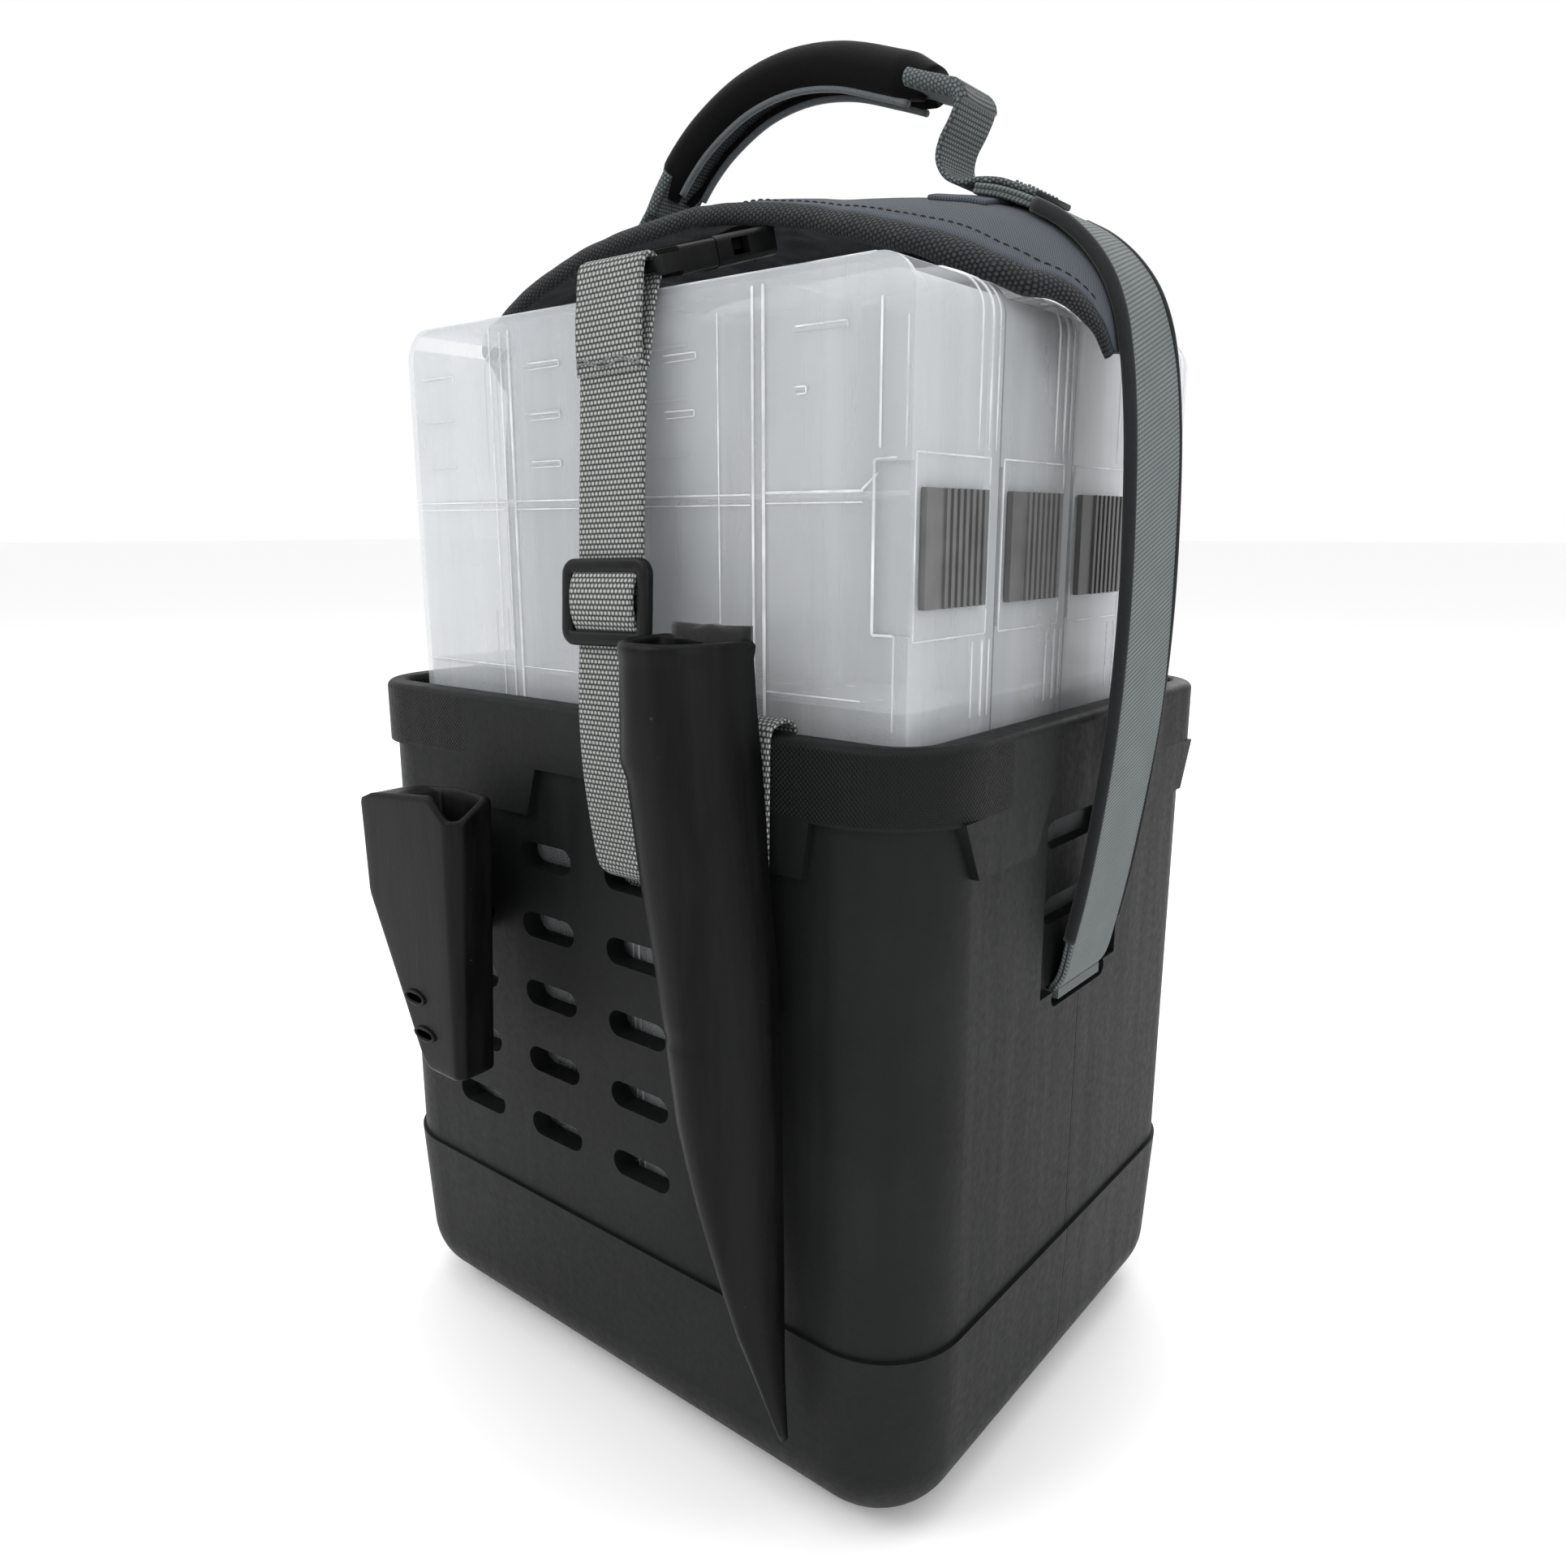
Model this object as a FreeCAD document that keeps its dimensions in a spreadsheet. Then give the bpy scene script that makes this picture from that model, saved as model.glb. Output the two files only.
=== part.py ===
import FreeCAD, Part
import math
import os

import Sketcher
from FreeCAD import Vector as V

# Tackle backpack: moulded foam bucket, four upright utility trays, fabric hood with a carry handle,
# front closing strap with a side-release buckle, two tool holders, and a padded back with shoulder straps.
# Frame: +Z up, +X to the right along the front face, front face towards -Y,
# origin at the centre of the flat underside. Millimetres.

os.makedirs("parts", exist_ok=True)
doc = FreeCAD.newDocument("TackleBackpack")

# ---------------------------------------------------------------- driving sizes
SIZES = [
    ("body_half_x", 136.8), ("body_half_y", 111.5), ("body_top", 274.3), ("plan_radius", 31.0),
    ("rim_proud", 2.9), ("rim_low", 250.0), ("rim_edge", 2.6), ("wall", 8.5), ("cavity_radius", 11.0),
    ("ledge_top", 52.4), ("ledge_width", 20.0), ("floor_top", 12.0),
    ("band_top", 73.0), ("band_proud", 1.3), ("band_taper", 2.27), ("base_fillet", 28.0),
    ("tab_depth", 18.0), ("tab_slope", 6.0), ("tab_wide", 112.0),
    ("slot_long", 29.0), ("slot_tall", 10.0), ("slot_pitch_x", 46.6), ("slot_pitch_z", 27.7),
    ("slot_offset_x", -2.2), ("slot_low_z", 105.2), ("slot_rows", 5),
    ("recess_half_y", 31.0), ("recess_low", 176.0), ("recess_top", 271.0), ("recess_deep", 3.3),
    ("side_slot_long", 50.0), ("side_slot_tall", 10.0), ("side_slot_low", 205.0), ("side_slot_pitch", 27.5),
    ("strap_slot_long", 44.0), ("strap_slot_tall", 7.0), ("strap_slot_z", 173.5),
    ("tray_x_left", -108.3), ("tray_wide", 232.0), ("tray_tall", 356.0), ("tray_deep", 49.65),
    ("tray_pitch", 50.1), ("tray_front", -100.1), ("tray_low", 52.7), ("tray_radius", 12.0),
    ("tray_wall", 1.6), ("lid_thick", 2.6), ("mark_proud", 0.5),
    ("column_one", -50.0), ("column_two", 10.0), ("column_three", 70.0),
    ("divider_thick", 1.4), ("divider_upper", 345.0), ("divider_lower", 283.0),
    ("latch_front", 5.0), ("latch_wide", 36.0), ("latch_low", 312.5), ("latch_tall", 34.0),
    ("latch_gap", 0.35), ("latch_thick", 2.0), ("latch_rib", 0.8),
    ("hinge_height", 175.0), ("hood_thick", 3.0), ("side_web_wide", 38.0), ("side_web_thick", 3.6),
    ("front_web_wide", 30.0), ("front_web_thick", 2.4), ("buckle_tilt", 17.0), ("buckle_clear", 254.7),
    ("buckle_wide", 40.0), ("buckle_thick", 9.5), ("holder_wall", 3.0),
    ("panel_half_x", 98.0), ("panel_low", 42.0), ("panel_top", 262.0), ("panel_front", 115.0), ("panel_thick", 16.0),
    ("shoulder_wide", 56.0), ("shoulder_thick", 11.0), ("shoulder_x", 54.0), ("shoulder_web", 25.0),
]
sheet = doc.addObject("Spreadsheet::Sheet", "Sizes")
D = {}
for row, (alias, value) in enumerate(SIZES, start=1):
    sheet.set("A%d" % row, alias)
    sheet.set("B%d" % row, str(value))
    sheet.setAlias("B%d" % row, alias)
    D[alias] = float(value)
doc.recompute()

NODES = []


def S(expr):
    """Expression text: words that are aliases are read from the sheet."""
    out, word = "", ""
    for c in expr + " ":
        if c.isalnum() or c == "_":
            word += c
        else:
            out += ("Sizes." + word) if word in D else word
            word = ""
            out += c
    return out.strip()


def val(expr):
    """Value of a plain sum, difference, product or quotient of aliases and numbers."""
    terms, sign, total = expr.replace("-", " - ").replace("+", " + ").split(), 1.0, 0.0
    for t in terms:
        if t == "+":
            sign = 1.0
        elif t == "-":
            sign = -sign if sign < 0 else -1.0
        else:
            p = 1.0
            for i, f in enumerate(t.split("*")):
                q = f.split("/")
                x = D[q[0]] if q[0] in D else float(q[0])
                for r in q[1:]:
                    x /= D[r] if r in D else float(r)
                p *= x
            total += sign * p
            sign = 1.0
    return total


# ---------------------------------------------------------------- part design helpers
def new_body(label):
    b = doc.addObject("PartDesign::Body", "Body_" + label)
    b.Label = label
    NODES.append(b)
    return b


def new_sketch(body, role, name, offset=None):
    sk = body.newObject("Sketcher::SketchObject", name)
    pl = [f for f in body.Origin.OriginFeatures if f.Role == role][0]
    sk.AttachmentSupport = [(pl, "")]
    sk.MapMode = "FlatFace"
    if offset is not None:
        sk.setExpression("AttachmentOffset.Base.z", S(offset))
    return sk


def rect(sk, x0, y0, x1, y1, tag):
    a, b, c, d = val(x0), val(y0), val(x1), val(y1)
    g = sk.GeometryCount
    pts = [V(a, b, 0), V(c, b, 0), V(c, d, 0), V(a, d, 0)]
    for i in range(4):
        sk.addGeometry(Part.LineSegment(pts[i], pts[(i + 1) % 4]), False)
    for i in range(4):
        sk.addConstraint(Sketcher.Constraint("Coincident", g + i, 2, g + (i + 1) % 4, 1))
    for i, kind in enumerate(["Horizontal", "Vertical", "Horizontal", "Vertical"]):
        sk.addConstraint(Sketcher.Constraint(kind, g + i))
    for name, kind, geo, point, value, expr in (
        ("xa", "DistanceX", g, 1, a, x0), ("ya", "DistanceY", g, 1, b, y0),
        ("xb", "DistanceX", g + 2, 1, c, x1), ("yb", "DistanceY", g + 2, 1, d, y1),
    ):
        k = sk.addConstraint(Sketcher.Constraint(kind, -1, 1, geo, point, value))
        sk.renameConstraint(k, name + tag)
        sk.setExpression("Constraints." + name + tag, S(expr))


def rounded(sk, x0, y0, x1, y1, radius, tag):
    """Rectangle with rounded corners, its sides and radius bound to the sheet."""
    a, b, c, d, r = val(x0), val(y0), val(x1), val(y1), val(radius)
    g = sk.GeometryCount
    L, A, C = Part.LineSegment, Part.ArcOfCircle, Sketcher.Constraint
    sk.addGeometry(L(V(a + r, b, 0), V(c - r, b, 0)), False)
    sk.addGeometry(A(Part.Circle(V(c - r, b + r, 0), V(0, 0, 1), r), -math.pi / 2, 0), False)
    sk.addGeometry(L(V(c, b + r, 0), V(c, d - r, 0)), False)
    sk.addGeometry(A(Part.Circle(V(c - r, d - r, 0), V(0, 0, 1), r), 0, math.pi / 2), False)
    sk.addGeometry(L(V(c - r, d, 0), V(a + r, d, 0)), False)
    sk.addGeometry(A(Part.Circle(V(a + r, d - r, 0), V(0, 0, 1), r), math.pi / 2, math.pi), False)
    sk.addGeometry(L(V(a, d - r, 0), V(a, b + r, 0)), False)
    sk.addGeometry(A(Part.Circle(V(a + r, b + r, 0), V(0, 0, 1), r), math.pi, 1.5 * math.pi), False)
    for i in (0, 2, 4, 6):
        sk.addConstraint(C("Tangent", g + i, 2, g + i + 1, 1))
        sk.addConstraint(C("Tangent", g + i + 1, 2, g + (i + 2) % 8, 1))
    for i, kind in ((0, "Horizontal"), (2, "Vertical"), (4, "Horizontal"), (6, "Vertical")):
        sk.addConstraint(C(kind, g + i))
    for i in (3, 5, 7):
        sk.addConstraint(C("Equal", g + 1, g + i))
    for name, con, expr in (
        ("r", C("Radius", g + 1, r), radius),
        ("ya", C("DistanceY", -1, 1, g, 1, b), y0), ("xb", C("DistanceX", -1, 1, g + 2, 1, c), x1),
        ("yb", C("DistanceY", -1, 1, g + 4, 1, d), y1), ("xa", C("DistanceX", -1, 1, g + 6, 1, a), x0),
    ):
        k = sk.addConstraint(con)
        sk.renameConstraint(k, name + tag)
        sk.setExpression("Constraints." + name + tag, S(expr))


def slot(sk, cx, cy, long_, tall, tag):
    x, y, ln, r = val(cx), val(cy), val(long_), val(tall) / 2
    h = ln / 2 - r
    g = sk.GeometryCount
    sk.addGeometry(Part.LineSegment(V(x - h, y + r, 0), V(x + h, y + r, 0)), False)
    sk.addGeometry(Part.ArcOfCircle(Part.Circle(V(x + h, y, 0), V(0, 0, 1), r), -math.pi / 2, math.pi / 2), False)
    sk.addGeometry(Part.LineSegment(V(x + h, y - r, 0), V(x - h, y - r, 0)), False)
    sk.addGeometry(Part.ArcOfCircle(Part.Circle(V(x - h, y, 0), V(0, 0, 1), r), math.pi / 2, 3 * math.pi / 2), False)
    C = Sketcher.Constraint
    sk.addConstraint([C("Tangent", g, 2, g + 1, 2), C("Tangent", g + 1, 1, g + 2, 1),
                      C("Tangent", g + 2, 2, g + 3, 2), C("Tangent", g + 3, 1, g, 1),
                      C("Horizontal", g), C("Equal", g + 1, g + 3)])
    for name, con, expr in (
        ("r", C("Radius", g + 1, r), tall + "/2"),
        ("xa", C("DistanceX", -1, 1, g + 1, 3, x + h), cx + " + " + long_ + "/2 - " + tall + "/2"),
        ("xb", C("DistanceX", -1, 1, g + 3, 3, x - h), cx + " - " + long_ + "/2 + " + tall + "/2"),
        ("ya", C("DistanceY", -1, 1, g + 1, 3, y), cy),
    ):
        k = sk.addConstraint(con)
        sk.renameConstraint(k, name + tag)
        sk.setExpression("Constraints." + name + tag, S(expr))


def pad(body, sk, name, length, rev=False, taper=None):
    f = body.newObject("PartDesign::Pad", name)
    f.Profile = sk
    f.setExpression("Length", S(length))
    f.Reversed = rev
    if taper:
        f.setExpression("TaperAngle", S(taper))
    doc.recompute()
    return f


def pocket(body, sk, name, length, rev=False, through=False, mid=False):
    before = body.Shape.Volume
    f = body.newObject("PartDesign::Pocket", name)
    f.Profile = sk
    if through:
        f.Type = "ThroughAll"
    else:
        f.setExpression("Length", S(length))
    f.Reversed = rev
    f.Midplane = mid
    doc.recompute()
    if "Invalid" in f.State or body.Shape.Volume > before - 0.5:
        raise RuntimeError("pocket cut nothing: %s %s %.1f %.1f" % (name, f.State, before, body.Shape.Volume))
    return f


def fillet(body, name, pick, radius, kind="PartDesign::Fillet"):
    base = body.Tip
    names = ["Edge%d" % (i + 1) for i, e in enumerate(base.Shape.Edges) if pick(e)]
    if not names:
        raise RuntimeError("no edge for " + name)
    f = body.newObject(kind, name)
    f.Base = (base, names)
    f.setExpression("Radius" if kind.endswith("Fillet") else "Size", S(radius))
    doc.recompute()
    if "Invalid" in f.State or "Error" in f.State:
        raise RuntimeError("fillet failed: " + name)
    return f


def along(axis, box=None):
    """Picks straight edges along an axis, inside an optional box of the middle point."""
    def pick(e):
        if len(e.Vertexes) != 2 or e.Curve.TypeId != "Part::GeomLine":
            return False
        d = e.Vertexes[1].Point - e.Vertexes[0].Point
        d = [abs(d.x), abs(d.y), abs(d.z)]
        if d[axis] < 0.999 * math.sqrt(sum(k * k for k in d)):
            return False
        if box is None:
            return True
        c = e.CenterOfMass
        return all(lo <= k <= hi for k, (lo, hi) in zip((c.x, c.y, c.z), box))
    return pick


# ---------------------------------------------------------------- plain shape helpers
def feature(label, shape, place=None):
    if shape.Volume < 0:
        shape.reverse()
    o = doc.addObject("Part::Feature", "Solid_" + label)
    o.Label = label
    o.Shape = shape
    o.Placement = place if place is not None else FreeCAD.Placement()
    NODES.append(o)
    return o


def solid_of(s):
    s = s.Solids[0] if len(s.Solids) == 1 else s
    if s.Volume < 0:
        s.reverse()
    return s


def normals(path):
    out = []
    for i, p in enumerate(path):
        ns = []
        for a, b in ((i - 1, i), (i, i + 1)):
            if 0 <= a and b < len(path):
                dx, dz = path[b][0] - path[a][0], path[b][1] - path[a][1]
                k = math.hypot(dx, dz)
                ns.append((-dz / k, dx / k))
        nx, nz = sum(n[0] for n in ns) / len(ns), sum(n[1] for n in ns) / len(ns)
        k2 = nx * nx + nz * nz
        out.append((nx / k2, nz / k2))
    return out


def ribbon(plane, path, lo, hi, t0, t1):
    """Flat band along a path in the XZ or YZ plane, thickness t0..t1 on the left of the path."""
    lo = lo if isinstance(lo, list) else [lo] * len(path)
    hi = hi if isinstance(hi, list) else [hi] * len(path)
    wires = []
    for p, n, a, b in zip(path, normals(path), lo, hi):
        q = []
        for t, w in ((t0, a), (t0, b), (t1, b), (t1, a)):
            u, z = p[0] + n[0] * t, p[1] + n[1] * t
            q.append(V(u, w, z) if plane == "XZ" else V(w, u, z))
        wires.append(Part.makePolygon(q + [q[0]]))
    return solid_of(Part.makeLoft(wires, True, True))


def prism(plane, pts, lo, hi):
    """Polygon in the XZ or YZ plane pulled along the third axis."""
    q = [V(a, lo, b) if plane == "XZ" else V(lo, a, b) for a, b in pts]
    f = Part.Face(Part.makePolygon(q + [q[0]]))
    return solid_of(f.extrude(V(0, hi - lo, 0) if plane == "XZ" else V(hi - lo, 0, 0)))


def stack(sections):
    """Ruled loft through closed polygons given as lists of (x, y, z)."""
    wires = [Part.makePolygon([V(*p) for p in s] + [V(*s[0])]) for s in sections]
    return solid_of(Part.makeLoft(wires, True, True))


def box(x0, y0, z0, x1, y1, z1):
    return Part.makeBox(x1 - x0, y1 - y0, z1 - z0, V(x0, y0, z0))


# ---------------------------------------------------------------- bucket
bucket = new_body("bucket_shell")
sk = new_sketch(bucket, "XY_Plane", "BodyPlan", "band_top - 1")
rect(sk, "-body_half_x", "-body_half_y", "body_half_x", "body_half_y", "p")
pad(bucket, sk, "BodyPad", "body_top - band_top + 1")
fillet(bucket, "BodyCorners", along(2), "plan_radius")
sk = new_sketch(bucket, "XY_Plane", "BandPlan", "band_top")
rect(sk, "-body_half_x - band_proud", "-body_half_y - band_proud", "body_half_x + band_proud", "body_half_y + band_proud", "p")
pad(bucket, sk, "BandPad", "band_top", True, "-band_taper")
zc = (-1e4, D["band_top"] - 2)


def band_corner(e):
    c = e.CenterOfMass
    return len(e.Vertexes) == 2 and abs(e.Vertexes[0].Point.z - e.Vertexes[1].Point.z) > 60 and c.z < 60


fillet(bucket, "BandCorners", band_corner, "plan_radius + 1")
fillet(bucket, "BaseFillet", lambda e: e.BoundBox.ZMax < 0.01, "base_fillet")
# rim band, a little proud of the body, with a sloped tab hanging from it on each side of every corner
sk = new_sketch(bucket, "XY_Plane", "RimPlan", "rim_low")
rect(sk, "-body_half_x - rim_proud", "-body_half_y - rim_proud", "body_half_x + rim_proud", "body_half_y + rim_proud", "p")
pad(bucket, sk, "RimPad", "body_top - rim_low")
fillet(bucket, "RimCorners", lambda e: along(2)(e) and e.CenterOfMass.z > 255 and abs(e.CenterOfMass.x) > D["body_half_x"] + 2.5 and abs(e.CenterOfMass.y) > D["body_half_y"] + 2.5, "plan_radius + rim_proud")


def tab_sketch(role, name, half, inner, slope_in, outer, slope_out):
    """Trapezoid tab profile from |inner| to |outer| under the rim band, both signs."""
    s = new_sketch(bucket, role, name)
    top, low = val("rim_low + 1"), val("rim_low - tab_depth")
    for sign in (-1, 1):
        q = [V(sign * (inner - slope_in), top, 0), V(sign * outer, top, 0), V(sign * (outer - slope_out), low, 0), V(sign * inner, low, 0)]
        g = s.GeometryCount
        for i in range(4):
            s.addGeometry(Part.LineSegment(q[i], q[(i + 1) % 4]), False)
        for i in range(4):
            s.addConstraint(Sketcher.Constraint("Coincident", g + i, 2, g + (i + 1) % 4, 1))
    return s


sk = tab_sketch("XZ_Plane", "TabsFrontBack", 0, 31.0, 6.0, 100.0, 3.0)
f = bucket.newObject("PartDesign::Pad", "TabsFrontBackPad")
f.Profile = sk
f.Midplane = True
f.setExpression("Length", S("2*body_half_y + 2*rim_proud"))
doc.recompute()
sk = tab_sketch("YZ_Plane", "TabsSides", 0, 45.0, 10.0, 91.0, 9.0)
f = bucket.newObject("PartDesign::Pad", "TabsSidesPad")
f.Profile = sk
f.Midplane = True
f.setExpression("Length", S("2*body_half_x + 2*rim_proud"))
doc.recompute()
# tray cavity and the well under the support ledge
sk = new_sketch(bucket, "XY_Plane", "CavityPlan", "body_top")
rounded(sk, "-body_half_x + wall", "-body_half_y + wall", "body_half_x - wall", "body_half_y - wall", "cavity_radius", "p")
pocket(bucket, sk, "Cavity", "body_top - ledge_top")
sk = new_sketch(bucket, "XY_Plane", "WellPlan", "ledge_top")
rect(sk, "-body_half_x + wall + ledge_width", "-body_half_y + wall + ledge_width", "body_half_x - wall - ledge_width", "body_half_y - wall - ledge_width", "p")
pocket(bucket, sk, "Well", "ledge_top - floor_top")
# accessory slots through the front wall
sk = new_sketch(bucket, "XZ_Plane", "FrontSlots")
for i in range(4):
    slot(sk, "slot_offset_x + %.1f*slot_pitch_x" % (i - 1.5), "slot_low_z", "slot_long", "slot_tall", "s%d" % i)
cut = pocket(bucket, sk, "FrontSlotRow", "body_half_y + 20", False)
if min(v.Y for v in cut.AddSubShape.Vertexes if True) > -100:
    cut.Reversed = True
    doc.recompute()
pat = bucket.newObject("PartDesign::LinearPattern", "FrontSlotGrid")
pat.Originals = [cut]
pat.Direction = (sk, ["V_Axis"])
pat.setExpression("Length", S("slot_pitch_z*4"))
pat.setExpression("Occurrences", S("slot_rows"))
bucket.Tip = pat
doc.recompute()
# strap recesses in both side walls, with two slots behind the strap and its own entry slot
for side, sgn in (("Right", 1), ("Left", -1)):
    sk = new_sketch(bucket, "YZ_Plane", side + "Recess", None)
    sk.AttachmentOffset = FreeCAD.Placement(V(0, 0, sgn * (D["body_half_x"] - D["recess_deep"])), FreeCAD.Rotation())
    sk.setExpression("AttachmentOffset.Base.z", S("body_half_x - recess_deep" if sgn > 0 else "recess_deep - body_half_x"))
    rect(sk, "-recess_half_y", "recess_low", "recess_half_y", "recess_top", "p")
    pocket(bucket, sk, side + "RecessCut", "20", sgn > 0)
    sk = new_sketch(bucket, "YZ_Plane", side + "Slots")
    sk.setExpression("AttachmentOffset.Base.z", S("body_half_x - 20" if sgn > 0 else "20 - body_half_x"))
    slot(sk, "0*side_slot_long", "side_slot_low", "side_slot_long", "side_slot_tall", "a")
    slot(sk, "0*side_slot_long", "side_slot_low + side_slot_pitch", "side_slot_long", "side_slot_tall", "b")
    slot(sk, "0*side_slot_long", "strap_slot_z", "strap_slot_long", "strap_slot_tall", "c")
    pocket(bucket, sk, side + "SlotCut", "40", sgn > 0)


def rim_edges(e):
    return abs(e.BoundBox.ZMin - D["body_top"]) < 0.01 and abs(e.BoundBox.ZMax - D["body_top"]) < 0.01


fillet(bucket, "RimRound", rim_edges, "rim_edge")

# ---------------------------------------------------------------- trays
cols = ["tray_x_left + tray_wall", "column_one", "column_two", "column_three", "tray_x_left + tray_wide - tray_wall"]


def tray(n):
    y0 = val("tray_front + %d*tray_pitch" % (n - 1))
    place = FreeCAD.Placement(V(0, y0, 0), FreeCAD.Rotation())
    x1, z1 = "tray_x_left + tray_wide", "tray_low + tray_tall"
    # base: open box with three column walls, its mouth towards the lid
    b = new_body("tray_%d_base" % n)
    sk = new_sketch(b, "XZ_Plane", "T%dBasePlan" % n, "-lid_thick")
    rect(sk, "tray_x_left", "tray_low", x1, z1, "p")
    pad(b, sk, "T%dBasePad" % n, "tray_deep - lid_thick", True)
    fillet(b, "T%dBaseCorners" % n, along(1), "tray_radius")
    sk = new_sketch(b, "XZ_Plane", "T%dCells" % n, "-lid_thick")
    for i in range(4):
        a = cols[i] if i == 0 else cols[i] + " + tray_wall/2"
        c = cols[i + 1] if i == 3 else cols[i + 1] + " - tray_wall/2"
        rect(sk, a, "tray_low + tray_wall", c, z1 + " - tray_wall", "c%d" % i)
    pocket(b, sk, "T%dCellCut" % n, "tray_deep - lid_thick - tray_wall")
    r_in = val("tray_radius - tray_wall")
    b.Placement = place
    # lid: flat plate with short raised tie marks and a shallow latch recess at its right edge
    b = new_body("tray_%d_lid" % n)
    sk = new_sketch(b, "XZ_Plane", "T%dLidPlan" % n, "-lid_thick")
    rect(sk, "tray_x_left", "tray_low", x1, z1, "p")
    pad(b, sk, "T%dLidPad" % n, "lid_thick - mark_proud")
    fillet(b, "T%dLidCorners" % n, along(1), "tray_radius")
    sk = new_sketch(b, "XZ_Plane", "T%dMarks" % n, "-mark_proud")
    k = 0
    for xa in (-100.0, -39.5, 21.0, 82.8):
        for zc in (391.0, 375.0, 358.0, 103.4, 86.4, 70.4):
            if (xa == 82.8 and zc in (358.0, 86.4)):
                continue
            w = 5.0 if (xa == 82.8 and zc in (375.0,)) else 19.0
            rect(sk, "%.1f" % xa, "%.1f" % (zc - 0.5), "%.1f" % (xa + w), "%.1f" % (zc + 0.5), "m%d" % k)
            k += 1
    pad(b, sk, "T%dMarksPad" % n, "mark_proud")
    sk = new_sketch(b, "XZ_Plane", "T%dLatchRecess" % n, "-mark_proud")
    rect(sk, x1 + " - 12.7", "latch_low - 7.5", x1 + " + 1", "latch_low + latch_tall + 7.2", "p")
    pocket(b, sk, "T%dLatchRecessCut" % n, "lid_thick/2")
    b.Placement = place
    # cross dividers, loose plates across the columns
    parts = []
    for j, zz in enumerate(("divider_upper", "divider_lower")):
        for i in range(4):
            a = (cols[i] if i == 0 else cols[i] + " + tray_wall/2") + " + 0.2"
            c = (cols[i + 1] if i == 3 else cols[i + 1] + " - tray_wall/2") + " - 0.2"
            p = doc.addObject("Part::Box", "T%dDivider%d%d" % (n, j, i))
            p.setExpression("Length", S("(" + c + ") - (" + a + ")"))
            p.setExpression("Width", S("tray_deep - lid_thick - tray_wall - 0.4"))
            p.setExpression("Height", S("divider_thick"))
            p.setExpression("Placement.Base.x", S(a))
            p.setExpression("Placement.Base.y", S("lid_thick + 0.2"))
            p.setExpression("Placement.Base.z", S(zz + " - divider_thick/2"))
            parts.append(p)
    c = doc.addObject("Part::Compound", "T%dDividers" % n)
    c.Label = "tray_%d_dividers" % n
    c.Links = parts
    c.Placement = place
    NODES.append(c)
    # latches: ribbed clip plate with its hinge barrel at the back edge
    for which, low in (("upper", "latch_low"), ("lower", "2*tray_low + tray_tall - latch_low - latch_tall")):
        b = new_body("tray_%d_latch_%s" % (n, which))
        sk = new_sketch(b, "XY_Plane", "T%dLatch%s" % (n, which), low)
        xa = x1 + " + latch_gap"
        rect(sk, xa, "latch_front", xa + " + latch_thick", "latch_front + latch_wide - 1.2", "p")
        pad(b, sk, "T%dLatchPad%s" % (n, which), "latch_tall")
        sk = new_sketch(b, "XY_Plane", "T%dRibs%s" % (n, which), low)
        for i in range(7):
            yy = 14.5 + 3.6 * i
            rect(sk, xa + " + latch_thick - 0.2", "%.1f" % yy, xa + " + latch_thick + latch_rib", "%.1f" % (yy + 1.7), "r%d" % i)
        pad(b, sk, "T%dRibsPad%s" % (n, which), "latch_tall")
        sk = new_sketch(b, "XY_Plane", "T%dBarrel%s" % (n, which), low)
        g = sk.addGeometry(Part.Circle(V(val(x1 + " + latch_gap + latch_thick/2"), val("latch_front + latch_wide - 1.2"), 0), V(0, 0, 1), 1.0), False)
        k = sk.addConstraint(Sketcher.Constraint("DistanceX", -1, 1, g, 3, val(x1 + " + latch_gap + latch_thick/2")))
        sk.renameConstraint(k, "cx")
        sk.setExpression("Constraints.cx", S(x1 + " + latch_gap + latch_thick/2"))
        k = sk.addConstraint(Sketcher.Constraint("DistanceY", -1, 1, g, 3, val("latch_front + latch_wide - 1.2")))
        sk.renameConstraint(k, "cy")
        sk.setExpression("Constraints.cy", S("latch_front + latch_wide - 1.2"))
        k = sk.addConstraint(Sketcher.Constraint("Radius", g, 1.0))
        sk.renameConstraint(k, "cr")
        sk.setExpression("Constraints.cr", S("latch_thick/2"))
        pad(b, sk, "T%dBarrelPad%s" % (n, which), "latch_tall")
        b.Placement = place


for n in (1, 2, 3, 4):
    tray(n)

# ---------------------------------------------------------------- front closing strap, slider and buckle
xc = lambda z: 15.3 + (409.0 - z) * 0.0285
half = D["front_web_wide"] / 2
t = D["front_web_thick"] / 2
A, B = (-106.6, 412.5), (-117.3, 277.5)
path = [A, B, (-116.4, 250.0), (-113.6, 228.5), (-110.5, 217.5), (-105.0, 216.0)]
hw = [half, half, half, 14.0, 13.4, 13.4]
shell_solid = doc.getObjectsByLabel("bucket_shell")[0].Shape
strap = ribbon("YZ", path, [xc(p[1]) - h for p, h in zip(path, hw)], [xc(p[1]) + h for p, h in zip(path, hw)], -t, t)
tail = ribbon("YZ", [(-105.2, 216.0), (-101.6, 216.0)], 7.4, 34.2, -t, t).fuse(box(7.4, -102.4, 196.0, 34.2, -100.8, 217.2))
bar_u, bar_w = -28.75, 4.6
ct, st = math.cos(math.radians(D["buckle_tilt"])), math.sin(math.radians(D["buckle_tilt"]))
O = (-D["buckle_clear"] * st, D["hinge_height"] + D["buckle_clear"] * ct)


def buckle_at(u, w):
    return (O[0] + u * ct - w * st, O[1] + u * st + w * ct)


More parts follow.
